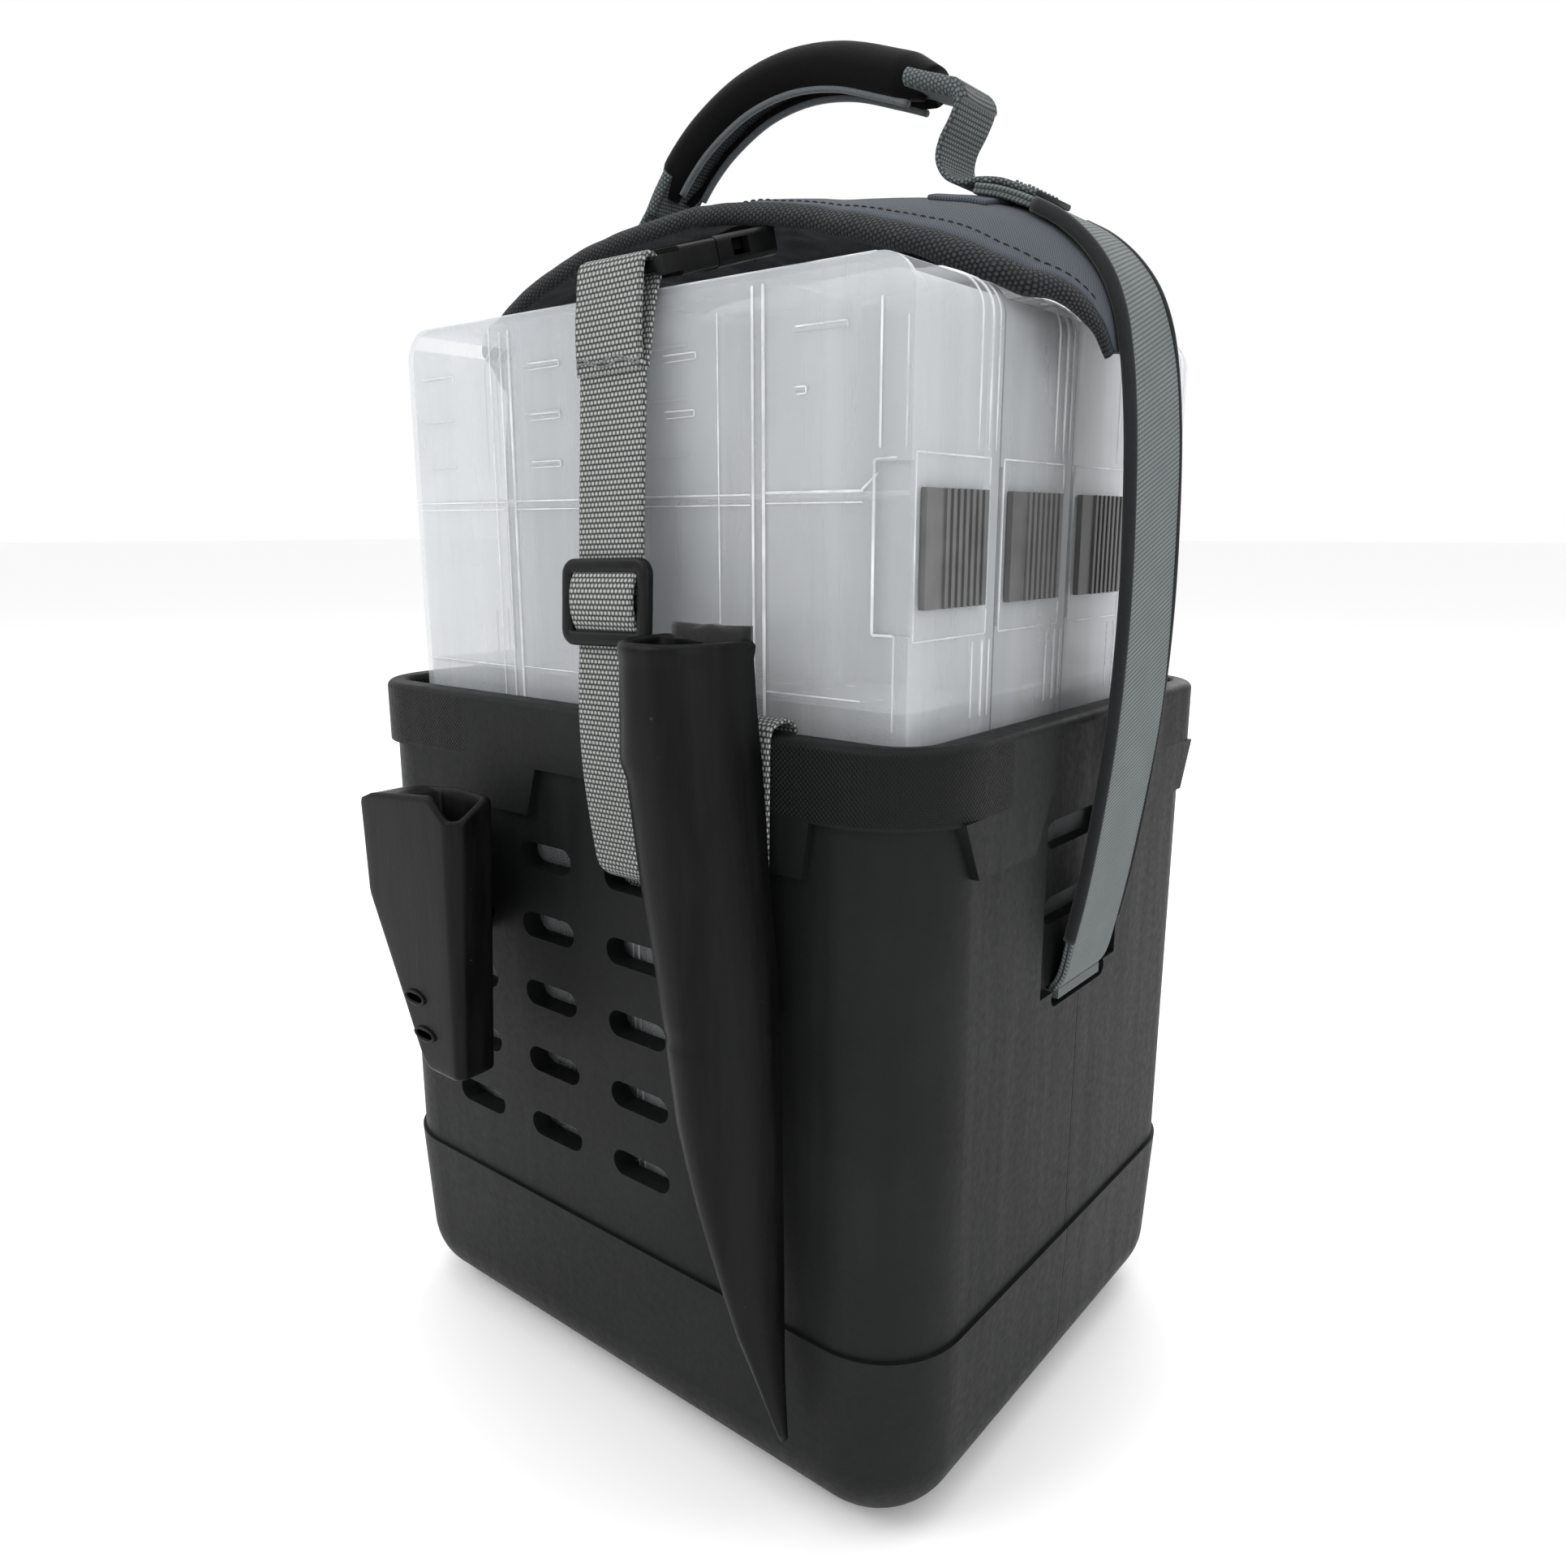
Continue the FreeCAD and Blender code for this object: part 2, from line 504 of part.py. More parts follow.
barc = buckle_at(bar_u, bar_w)
ring = [(barc[0] + 4.4 * math.cos(k * math.pi / 6), barc[1] + 4.4 * math.sin(k * math.pi / 6)) for k in range(12)]
hole = [(barc[0] + 2.4 * math.cos(k * math.pi / 6), barc[1] + 2.4 * math.sin(k * math.pi / 6)) for k in range(12)]
loop = prism("YZ", ring, xc(414) - half, xc(414) + half).cut(prism("YZ", hole, xc(414) - half - 1, xc(414) + half + 1))
feature("front_strap", solid_of(strap.fuse([tail, loop]).removeSplitter().cut(shell_solid)))

buckle_place = FreeCAD.Placement(V(16.0, O[0], O[1]), FreeCAD.Rotation(V(1, 0, 0), D["buckle_tilt"]))
bw, bt = D["buckle_wide"] / 2, D["buckle_thick"]
male = box(-bw, -22.5, 0.5, bw, -5.0, bt - 0.5)
male = male.fuse([box(-bw, bar_u - 2, 1.8, -bw + 3.6, -22.0, 7.4), box(bw - 3.6, bar_u - 2, 1.8, bw, -22.0, 7.4),
                  Part.makeCylinder(1.9, 2 * bw - 1, V(-bw + 0.5, bar_u, bar_w), V(1, 0, 0)),
                  box(-16.3, -6.0, 4.2, -11.8, 12.5, 7.2), box(11.8, -6.0, 4.2, 16.3, 12.5, 7.2), box(-2.5, -6.0, 4.2, 2.5, 13.0, 7.2)])
male = male.removeSplitter()
male = male.makeFillet(1.2, [e for e in male.Edges if e.Length > 15 and abs(e.CenterOfMass.y + 13.7) < 0.6 and abs(e.CenterOfMass.x) > 19])
feature("buckle_male", solid_of(male), buckle_place)
female = box(-bw, -4.5, 0.0, bw, 26.0, bt)
female = female.makeFillet(2.0, [e for e in female.Edges if abs(e.Vertexes[0].Point.x - e.Vertexes[1].Point.x) < 0.1 and abs(e.Vertexes[0].Point.z - e.Vertexes[1].Point.z) < 0.1])
female = female.cut(box(-17.4, -5.5, 1.4, 17.4, 16.0, 8.1))
female = female.cut(box(-bw - 1, 3.0, 2.6, bw + 1, 11.5, 7.8))
female = female.cut(box(-15.6, 19.0, -1, 15.6, 22.4, bt + 1))
feature("buckle_female", solid_of(female), buckle_place)
# hood tab: webbing loop from the female half's back bar up to the hood's front edge
q = [buckle_at(20.7, -1.0), buckle_at(20.7, 11.5), (-46.5, 441.2)]
tab = ribbon("YZ", [buckle_at(20.7, 0.3), buckle_at(20.7, 10.6), (-49.0, 439.6), (-46.0, 442.2), (-37.0, 443.6)], 1.5, 30.5, -0.9, 0.9)
feature("buckle_tab", tab)

# slider frame: rounded frame in front of the webbing, centre bar behind it
dy, dz = A[0] - B[0], A[1] - B[1]
dx = xc(A[1]) - xc(B[1])
k = math.sqrt(dx * dx + dy * dy + dz * dz)
zs = 311.5
ys = B[0] + (zs - B[1]) * dy / dz
rot = FreeCAD.Rotation(V(0, 0, 1), V(dx / k, dy / k, dz / k))
ft = D["front_web_thick"] / 2 + 0.45
frame = box(-20.0, -ft - 2.6, -14.0, 20.0, -ft, 14.0)
frame = frame.makeFillet(5.0, [e for e in frame.Edges if abs(e.Vertexes[0].Point.y - e.Vertexes[1].Point.y) > 2])
frame = frame.cut(box(-15.6, -ft - 4, -9.6, 15.6, -ft + 1, 9.6))
for sx in (-1, 1):
    frame = frame.fuse(box(min(sx * 16.0, sx * 19.6), -ft - 0.5, -7.0, max(sx * 16.0, sx * 19.6), ft + 1.8, 7.0))
frame = frame.fuse(box(-18.0, ft, -2.2, 18.0, ft + 1.8, 2.2)).removeSplitter()
feature("triglide_slider", solid_of(frame), FreeCAD.Placement(V(xc(zs), ys, zs), rot))
print("slider axis", dx / k, dy / k, dz / k, "centre", xc(zs), ys, zs)

# ---------------------------------------------------------------- hood, bindings, side straps
half_path = [(0, 451.0), (25, 450.5), (45, 449.3), (65, 447.2), (85, 444.0), (100, 440.3), (112, 435.8), (122, 430.2), (131, 422.6), (138.5, 413.0), (143.2, 402.0), (145.6, 390.0)]
cover_w = [40, 40, 39.5, 39, 38, 36.5, 34, 31, 27, 22, 17.5, 15]
bind_w = [51, 51, 50, 49.2, 47.5, 45, 41.5, 37.5, 32.5, 26.5, 21.5, 18.5]
arch = [(-x, z) for x, z in half_path[:0:-1]] + half_path
wc = cover_w[:0:-1] + cover_w
wb = bind_w[:0:-1] + bind_w
ht = D["hood_thick"]
# the path runs from -X to +X, so its left side is up and out
feature("hood_cover", ribbon("XZ", arch, [-w for w in wc], [w for w in wc], -ht, 0))
feature("hood_binding_front", ribbon("XZ", arch, [-w for w in wb], [-w - 0.1 for w in wc], -4.5, 1.0))
wr = [min(w, 49.4) for w in wb]
feature("hood_binding_rear", ribbon("XZ", arch, [w + 0.1 for w in wc], [w for w in wr], -4.5, 1.0))
sw, sh = D["side_web_wide"] / 2, D["side_web_thick"]
side = [(97, 441.6), (105, 438.9), (113.2, 435.4), (122.8, 430.0), (132.0, 422.3), (139.8, 412.4), (144.8, 401.0), (148.0, 388.0), (150.6, 370.0), (152.2, 345.0), (152.8, 310.0), (151.2, 275.0), (147.6, 245.0), (143.0, 215.0), (139.4, 195.0), (137.6, 177.0)]
for name, sgn in (("right", 1), ("left", -1)):
    p = [(sgn * x, z) for x, z in side]
    a, b = (0.15, sh) if sgn > 0 else (-sh, -0.15)
    ws = [sw] * (len(p) - 2) + [17.5, 15.0]
    feature("side_strap_" + name, ribbon("XZ", p, [-w for w in ws], ws, a, b))
    # fabric tab over the strap's sewn upper end
    tp = [(sgn * x, z) for x, z in [(80, 445.4), (90, 443.6), (95.9, 442.4)]]
    feature("strap_tab_" + name, ribbon("XZ", tp, -24.0, 24.0, 0.1 if sgn > 0 else -1.9, 1.9 if sgn > 0 else -0.1))
    # fixed lower end: webbing through the entry slot, turned down behind the wall
    w0 = 17.0
    anchor = box(127.3, -w0, 172.2, 137.0, w0, 174.8).fuse(box(135.0, -w0, 172.2, 137.0, w0, 175.9))
    if sgn < 0:
        anchor = box(-137.0, -w0, 172.2, -125.0, w0, 174.8).fuse(box(-137.0, -w0, 172.2, -135.0, w0, 175.9))
        anchor = anchor.fuse(box(-127.6, -w0, 150.0, -125.0, w0, 173.0))
    else:
        anchor = anchor.fuse(box(127.3, -w0, 150.0, 128.2, w0, 173.0))
    feature("side_strap_anchor_" + name, solid_of(anchor.removeSplitter()))

# ---------------------------------------------------------------- handle
hp = [(-66.5, 457.6), (-60.0, 466.0), (-47.5, 478.5), (-36.0, 487.0), (-16.0, 496.5), (6.0, 499.8), (28.0, 497.0), (50.0, 489.5), (70.0, 482.5), (78.5, 478.0), (79.0, 472.0), (72.2, 464.5), (71.0, 458.0)]
hs = solid_of(ribbon("XZ", hp, -12.0, 12.0, -1.2, 1.2))
grip_p = hp[2:9]
secs = []
for p, nn in zip(grip_p, normals(grip_p)):
    ring = []
    for i in range(12):
        a = i * math.pi / 6 + math.pi / 12
        u, w = 8.6 * math.cos(a), 13.4 * math.sin(a)
        ring.append((p[0] + nn[0] * (u - 0.6), w, p[1] + nn[1] * (u - 0.6)))
    secs.append(ring)
grip = solid_of(stack(secs).cut(hs))
feature("handle_webbing", hs)
feature("handle_grip", grip)
for name, wp in (("left", [(-64.0, 460.6), (-60.0, 466.0), (-50.6, 475.4)]), ("right", [(70.9, 482.2), (77.8, 478.6)])):
    wrap = ribbon("XZ", wp, -13.6, 13.6, -2.8, 2.8).cut(ribbon("XZ", hp, -12.0, 12.0, -1.2, 1.2)).cut(grip)
    feature("handle_wrap_" + name, solid_of(wrap))
feature("handle_tab_right", ribbon("XZ", [(74.6, 458.0), (77.6, 451.4), (84.0, 447.0), (95.9, 444.8)], [-8.0, -8.0, -12.5, -12.5], [8.0, 8.0, 12.5, 12.5], -0.4, 1.2).cut(ribbon("XZ", [(80, 445.4), (90, 443.6), (95.9, 442.4)], -24.0, 24.0, -3, 1.9)))
feature("handle_tab_left", ribbon("XZ", [(-95.0, 444.0), (-84.0, 446.6), (-76.0, 450.4), (-70.0, 457.6)], -12.5, 12.5, -0.4, 1.2).cut(ribbon("XZ", [(-80, 445.4), (-90, 443.6), (-95.9, 442.4)], -24.0, 24.0, -1.9, 3)))

# ---------------------------------------------------------------- tool holders on the front wall
def ring_z(pts, z):
    return [(x, y, z) for x, y in pts]


hwall = D["holder_wall"]
outer = stack([ring_z([(-57, -145), (-53, -149.5), (-38, -149.5), (-34, -144.5), (-34, -133), (-57, -133)], 138.5),
               ring_z([(-86, -145.5), (-83, -150), (-35.5, -150), (-29, -144), (-29, -133), (-86, -133)], 201.0),
               ring_z([(-86, -145.5), (-83, -150), (-33.5, -150), (-26, -143.5), (-26, -133), (-86, -133)], 240.0)])
inner = stack([ring_z([(-52, -143.5), (-49.8, -146.5), (-39, -146.5), (-37, -143.8), (-37, -136), (-52, -136)], 143.0),
               ring_z([(-64, -143.5), (-62, -147), (-36.6, -147), (-32, -142.8), (-32, -136), (-64, -136)], 201.0),
               ring_z([(-66, -143.5), (-64, -147), (-34.8, -147), (-29, -142.2), (-29, -136), (-66, -136)], 241.0)])
cutters = [prism("XZ", [(-60.5, 161.8), (-51.5, 161.8), (-51.5, 165.2), (-60.5, 165.2)], -160, -148.0), prism("XZ", [(-57.0, 149.3), (-48.0, 149.3), (-48.0, 152.7), (-57.0, 152.7)], -160, -147.5)]
plier = outer.cut(inner)
for c in cutters:
    plier = plier.cut(c)
feature("plier_holder", solid_of(plier))
# clip plate behind each holder with two hooks that reach through the wall slots
def clip(label, x, zs_, yb):
    s = box(x - 10, yb, zs_[0] - 8, x + 10, -111.9, zs_[-1] + 8)
    for z in zs_:
        s = s.fuse(box(x - 8, -113, z - 3.4, x + 8, -101.2, z - 0.4))
        s = s.fuse(box(x - 8, -102.8, z - 9.5, x + 8, -101.2, z - 0.4))
    feature(label, solid_of(s.removeSplitter()))


clip("plier_clip", -72.1 + 0.0, (188.3, 216.0), -132.9)

sheath_rows = [  # height, left, right, depth at the crown
    (302.0, 46.5, 83.0, -149.0), (266.0, 47.5, 86.3, -150.0), (234.0, 53.4, 88.9, -150.0), (205.0, 60.0, 92.1, -150.0), (158.0, 66.8, 94.0, -148.5),
    (131.0, 74.2, 94.3, -146.0), (102.0, 81.2, 94.7, -140.5), (70.0, 88.2, 95.0, -132.0), (47.0, 91.9, 95.6, -124.5)]


def sheath_ring(z, a, b, crown, inset):
    a, b = a + inset, b - inset
    back, crown = -118.0 - inset * 0.6, crown + inset
    m, w = (a + b) / 2, (b - a) / 2
    pts = [(a, back)]
    for i in range(9):
        th = math.pi * (1 - i / 8)
        pts.append((m + w * math.cos(th), back - 3 - (back - 3 - crown) * math.sin(th) ** 0.75))
    pts.append((b, back))
    return [(x, y, z) for x, y in pts]


outer = stack([sheath_ring(z, a, b, c, 0.0) for z, a, b, c in sheath_rows])
inner = stack([sheath_ring(z + (1.5 if i == 0 else 0), a, b, c, hwall * 0.9) for i, (z, a, b, c) in enumerate(sheath_rows[:6])])
feature("tool_sheath", solid_of(outer.cut(inner)))
clip("sheath_clip", 70.0, (188.3, 216.0), -117.8)
# holder strap: from the back of the sheath over the rim and down inside the wall
hs_path = [(-116.6, 236.0), (-115.6, 262.0), (-115.2, 274.5), (-112.5, 277.3), (-104.0, 277.3), (-101.7, 273.0), (-101.6, 240.0)]
feature("holder_strap", ribbon("YZ", hs_path, 62.5, 86.0, -0.8, 0.8))

# ---------------------------------------------------------------- padded back and shoulder straps
pf, pt = D["panel_front"], D["panel_thick"]
px_, pl_, ph_ = D["panel_half_x"], D["panel_low"], D["panel_top"]
panel = box(-px_, pf, pl_, px_, pf + pt, ph_)
panel = panel.makeFillet(22.0, [e for e in panel.Edges if abs(e.Vertexes[0].Point.y - e.Vertexes[1].Point.y) > 2])
feature("back_panel", solid_of(panel))
y1 = pf + pt
sp = [(y1 + 7.0, 236.0), (y1 + 7.5, 249.0), (y1 + 13.0, 258.0), (y1 + 22.0, 256.0), (y1 + 27.5, 240.0), (y1 + 29.5, 205.0), (y1 + 29.0, 165.0), (y1 + 25.0, 125.0)]
wp_ = [(y1 + 23.5, 120.0), (y1 + 20.0, 98.0), (y1 + 11.0, 72.0), (y1 + 3.2, 58.0), (y1 + 1.6, 46.0)]
for name, sgn in (("right", 1), ("left", -1)):
    cx = sgn * D["shoulder_x"]
    w = D["shoulder_wide"] / 2
    ws = [w - 6, w - 3, w, w, w, w, w - 4, w - 9]
    shape = ribbon("YZ", sp, [cx - k for k in ws], [cx + k for k in ws], -D["shoulder_thick"] / 2, D["shoulder_thick"] / 2)
    feature("shoulder_strap_" + name, shape)
    web = ribbon("YZ", wp_, cx - D["shoulder_web"] / 2, cx + D["shoulder_web"] / 2, -0.9, 0.9)
    lock = box(cx - 16, y1 + 20.2, 100.0, cx + 16, y1 + 29.0, 118.5)
    lock = lock.makeFillet(3.0, [e for e in lock.Edges if abs(e.Vertexes[0].Point.y - e.Vertexes[1].Point.y) > 2])
    lock = lock.cut(box(cx - 12.9, y1 + 15, 103.0, cx + 12.9, y1 + 40, 107.5)).cut(box(cx - 12.9, y1 + 15, 111.0, cx + 12.9, y1 + 40, 115.5))
    lock = lock.cut(ribbon("YZ", [(y1 + 26.0, 126.0)] + wp_[:3], cx - 12.9, cx + 12.9, -1.2, 1.2)).cut(shape)
    lock = solid_of(lock)
    feature("shoulder_webbing_" + name, web.cut(shape))
    feature("ladder_lock_" + name, lock)

# ---------------------------------------------------------------- checks and export
doc.recompute()
bad = []
for o in doc.Objects:
    if "Invalid" in o.State or "Error" in o.State:
        bad.append(o.Name + " " + str(o.State))
for o in NODES:
    s = o.Shape
    if s.isNull() or not s.isValid() or s.Volume <= 0:
        bad.append(o.Label + " shape")
if bad:
    raise RuntimeError("failed: " + "; ".join(bad))
for old in os.listdir("parts"):
    if old.endswith(".step"):
        os.remove(os.path.join("parts", old))
for o in NODES:
    o.Shape.exportStep(os.path.join("parts", o.Label + ".step"))
    print("%-26s solids %d volume %.1f cm3" % (o.Label, len(o.Shape.Solids), o.Shape.Volume / 1000))
print(len(NODES), "parts")
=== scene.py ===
import math

import bmesh
import bpy
import numpy as np
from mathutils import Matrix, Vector, noise


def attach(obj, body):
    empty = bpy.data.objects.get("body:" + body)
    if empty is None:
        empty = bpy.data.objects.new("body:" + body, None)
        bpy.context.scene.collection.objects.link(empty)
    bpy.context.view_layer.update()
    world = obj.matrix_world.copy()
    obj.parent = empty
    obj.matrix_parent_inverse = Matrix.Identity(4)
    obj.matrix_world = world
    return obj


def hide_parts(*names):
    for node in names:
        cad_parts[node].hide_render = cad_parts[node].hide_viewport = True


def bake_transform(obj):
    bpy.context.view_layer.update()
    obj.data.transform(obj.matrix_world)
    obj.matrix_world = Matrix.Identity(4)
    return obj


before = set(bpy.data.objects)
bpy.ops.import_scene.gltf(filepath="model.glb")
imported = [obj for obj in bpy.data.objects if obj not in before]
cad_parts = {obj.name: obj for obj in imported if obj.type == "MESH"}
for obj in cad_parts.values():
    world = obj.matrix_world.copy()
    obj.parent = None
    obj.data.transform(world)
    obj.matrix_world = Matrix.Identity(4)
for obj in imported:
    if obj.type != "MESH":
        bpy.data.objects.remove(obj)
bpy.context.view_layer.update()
MM = 0.001
scene = bpy.context.scene

# ------------------------------------------------------------------ camera, light, floor
cam = bpy.data.cameras.new("camera")
cam_o = bpy.data.objects.new("camera", cam)
scene.collection.objects.link(cam_o)
cam.sensor_width = 36.0
cam.sensor_fit = "AUTO"
cam.lens = 26.658
cam.clip_start = 0.02
cam_o.location = (0.302855, -0.378695, 0.335551)
cam_o.rotation_mode = "QUATERNION"
yaw, pitch, roll = math.radians(38.8251), math.radians(12.45850), math.radians(0.01919)
fw = Vector((-math.sin(yaw) * math.cos(pitch), math.cos(yaw) * math.cos(pitch), -math.sin(pitch)))
cam_o.rotation_quaternion = fw.to_track_quat("-Z", "Y")
scene.camera = cam_o

CAMERA_FINE = True


def area(name, loc, target, size, power, colour=(1, 1, 1)):
    d = bpy.data.lights.new(name, "AREA")
    d.shape = "RECTANGLE"
    d.size, d.size_y = size
    d.energy = power
    d.color = colour
    o = bpy.data.objects.new(name, d)
    o.location = loc
    o.rotation_euler = (Vector(target) - Vector(loc)).to_track_quat("-Z", "Y").to_euler()
    scene.collection.objects.link(o)
    return o


area("key", (-1.1, -1.7, 1.9), (0, 0, 0.25), (1.6, 1.2), 26)
area("fill", (2.0, -0.7, 1.0), (0, 0, 0.25), (1.4, 1.4), 12)
area("top", (0.2, 0.3, 2.4), (0, 0, 0.2), (2.2, 2.2), 22)
area("back", (-0.6, 2.2, 1.3), (0, 0, 0.3), (2.2, 1.4), 18)
world = bpy.data.worlds.new("world")
scene.world = world
world.use_nodes = True
world.node_tree.nodes["Background"].inputs[0].default_value = (1.0, 1.0, 1.0, 1)
world.node_tree.nodes["Background"].inputs[1].default_value = 1.0
scene.view_settings.view_transform = "Standard"


# ------------------------------------------------------------------ material kit
class Mat:
    """Small node-graph writer."""

    def __init__(self, name, base=(0.5, 0.5, 0.5), rough=0.5, **sockets):
        self.m = bpy.data.materials.new(name)
        self.m.use_nodes = True
        self.t = self.m.node_tree
        self.n = self.t.nodes
        self.bsdf = self.n["Principled BSDF"]
        self.bsdf.inputs["Base Color"].default_value = (*base, 1)
        self.bsdf.inputs["Roughness"].default_value = rough
        for k, v in sockets.items():
            key = k.replace("_", " ")
            self.bsdf.inputs[key].default_value = v
        if "Specular_IOR_Level" not in sockets:
            self.bsdf.inputs["Specular IOR Level"].default_value = 0.12
        self.m.diffuse_color = (*base, 1)

    def node(self, kind, **props):
        n = self.n.new(kind)
        for k, v in props.items():
            setattr(n, k, v)
        return n

    def link(self, a, b):
        self.t.links.new(a, b)

    def put(self, sock, v):
        if hasattr(v, "is_linked") or hasattr(v, "links"):
            self.link(v, sock)
        else:
            sock.default_value = v

    def math(self, op, a, b=None, c=None, clamp=False):
        n = self.node("ShaderNodeMath", operation=op, use_clamp=clamp)
        self.put(n.inputs[0], a)
        if b is not None:
            self.put(n.inputs[1], b)
        if c is not None:
            self.put(n.inputs[2], c)
        return n.outputs[0]

    def pos(self, scale=1000.0):
        """Object position in millimetres, split into x, y, z."""
        g = self.node("ShaderNodeTexCoord")
        v = self.node("ShaderNodeVectorMath", operation="SCALE")
        self.link(g.outputs["Object"], v.inputs[0])
        v.inputs["Scale"].default_value = scale
        s = self.node("ShaderNodeSeparateXYZ")
        self.link(v.outputs[0], s.inputs[0])
        return v.outputs[0], s.outputs[0], s.outputs[1], s.outputs[2]

    def uv(self):
        g = self.node("ShaderNodeUVMap", uv_map="flat")
        v = self.node("ShaderNodeVectorMath", operation="SCALE")
        self.link(g.outputs[0], v.inputs[0])
        v.inputs["Scale"].default_value = 1000.0
        s = self.node("ShaderNodeSeparateXYZ")
        self.link(v.outputs[0], s.inputs[0])
        return v.outputs[0], s.outputs[0], s.outputs[1]

    def noise(self, vec, scale, detail=3.0, rough=0.55):
        n = self.node("ShaderNodeTexNoise")
        n.inputs["Scale"].default_value = scale
        n.inputs["Detail"].default_value = detail
        n.inputs["Roughness"].default_value = rough
        if vec is not None:
            self.link(vec, n.inputs["Vector"])
        return n.outputs[0]

    def ramp(self, fac, stops):
        n = self.node("ShaderNodeValToRGB")
        r = n.color_ramp
        while len(r.elements) > 1:
            r.elements.remove(r.elements[0])
        for i, (p, c) in enumerate(stops):
            e = r.elements[0] if i == 0 else r.elements.new(p)
            e.position = p
            e.color = (*c, 1) if len(c) == 3 else c
        self.link(fac, n.inputs[0])
        return n.outputs[0]

    def rng(self, v, a, b, lo=0.0, hi=1.0, smooth=False):
        n = self.node("ShaderNodeMapRange")
        if smooth:
            n.interpolation_type = "SMOOTHSTEP"
        n.inputs[1].default_value, n.inputs[2].default_value = a, b
        n.inputs[3].default_value, n.inputs[4].default_value = lo, hi
        self.put(n.inputs[0], v)
        return n.outputs[0]

    def mix(self, fac, a, b):
        n = self.node("ShaderNodeMix", data_type="RGBA")
        self.put(n.inputs[0], fac)
        self.put(n.inputs[6], (*a, 1) if isinstance(a, tuple) and len(a) == 3 else a)
        self.put(n.inputs[7], (*b, 1) if isinstance(b, tuple) and len(b) == 3 else b)
        return n.outputs[2]

    def colour(self, c):
        self.link(c, self.bsdf.inputs["Base Color"])

    def rough(self, r):
        self.link(r, self.bsdf.inputs["Roughness"])

    def bump(self, height, dist_mm=0.3, strength=1.0):
        n = self.node("ShaderNodeBump")
        n.inputs["Strength"].default_value = strength
        n.inputs["Distance"].default_value = dist_mm * MM
        self.link(height, n.inputs["Height"])
        self.link(n.outputs[0], self.bsdf.inputs["Normal"])


def weave(m, u, v, pu, pv, stagger=True):
    """Two-way basket weave height, 0 in the gaps and 1 on the crowns, for pitches in mm."""
    if stagger:
        row = m.math("MODULO", m.math("FLOOR", m.math("DIVIDE", v, pv)), 2.0)
        u = m.math("ADD", u, m.math("MULTIPLY", row, pu / 2))
    su = m.math("ABSOLUTE", m.math("SINE", m.math("MULTIPLY", u, math.pi / pu)))
    sv = m.math("ABSOLUTE", m.math("SINE", m.math("MULTIPLY", v, math.pi / pv)))
    return m.math("MULTIPLY", m.math("POWER", su, 0.6), m.math("POWER", sv, 0.6)), su, sv


def mat_webbing_flecked():
    m = Mat("webbing_flecked", (0.27, 0.28, 0.28), 0.78, Sheen_Weight=0.10, Sheen_Roughness=0.4)
    vec, u, v = m.uv()
    h, su, sv = weave(m, u, v, 1.76, 1.7)
    n = m.noise(vec, 0.9, 2.0)
    fine = m.noise(vec, 4.0, 3.0)
    t = m.math("ADD", h, m.math("MULTIPLY", m.math("SUBTRACT", fine, 0.5), 0.5))
    c = m.ramp(t, [(0.16, (0.006, 0.0065, 0.0065)), (0.42, (0.050, 0.053, 0.051)), (0.68, (0.21, 0.22, 0.213)), (1.0, (0.42, 0.435, 0.42))])
    c = m.mix(m.rng(n, 0.35, 0.7, 0.0, 0.28), c, (0.14, 0.145, 0.142))
    m.colour(c)
    m.bump(m.math("ADD", h, m.math("MULTIPLY", fine, 0.25)), 0.45, 0.9)
    return m.m


def mat_webbing_grey(name="webbing_grey", pu=1.25, pv=1.5, dark=(0.026, 0.031, 0.031), mid=(0.085, 0.100, 0.100), light=(0.155, 0.175, 0.175), dist=0.32, slant=0.35):
    m = Mat(name, mid, 0.8, Sheen_Weight=0.08, Sheen_Roughness=0.45)
    vec, u, v = m.uv()
    vv = m.math("ADD", v, m.math("MULTIPLY", u, slant))
    rib = m.math("ABSOLUTE", m.math("SINE", m.math("MULTIPLY", vv, math.pi / pv)))
    warp = m.math("ABSOLUTE", m.math("SINE", m.math("MULTIPLY", u, math.pi / pu)))
    h = m.math("ADD", m.math("MULTIPLY", rib, 0.7), m.math("MULTIPLY", warp, 0.3))
    fine = m.noise(vec, 3.0, 3.0)
    big = m.noise(vec, 0.06, 2.0)
    t = m.math("ADD", h, m.math("MULTIPLY", m.math("SUBTRACT", fine, 0.5), 0.4))
    c = m.ramp(t, [(0.15, dark), (0.5, mid), (0.95, light)])
    c = m.mix(m.rng(big, 0.35, 0.7, 0.0, 0.3), c, tuple(x * 0.8 for x in mid))
    m.colour(c)
    m.bump(m.math("ADD", h, m.math("MULTIPLY", fine, 0.3)), dist, 0.8)
    return m.m


def mat_basket(name, pu, pv, dark, mid, light, dist=0.5):
    m = Mat(name, mid, 0.8, Sheen_Weight=0.08, Sheen_Roughness=0.4)
    vec, u, v = m.uv()
    h, su, sv = weave(m, u, v, pu, pv)
    fine = m.noise(vec, 3.5, 3.0)
    big = m.noise(vec, 0.05, 2.0)
    t = m.math("ADD", h, m.math("MULTIPLY", m.math("SUBTRACT", fine, 0.5), 0.45))
    c = m.ramp(t, [(0.12, dark), (0.5, mid), (0.95, light)])
    c = m.mix(m.rng(big, 0.35, 0.7, 0.0, 0.25), c, tuple(x * 0.75 for x in mid))
    m.colour(c)
    m.bump(m.math("ADD", h, m.math("MULTIPLY", fine, 0.25)), dist, 0.9)
    return m.m


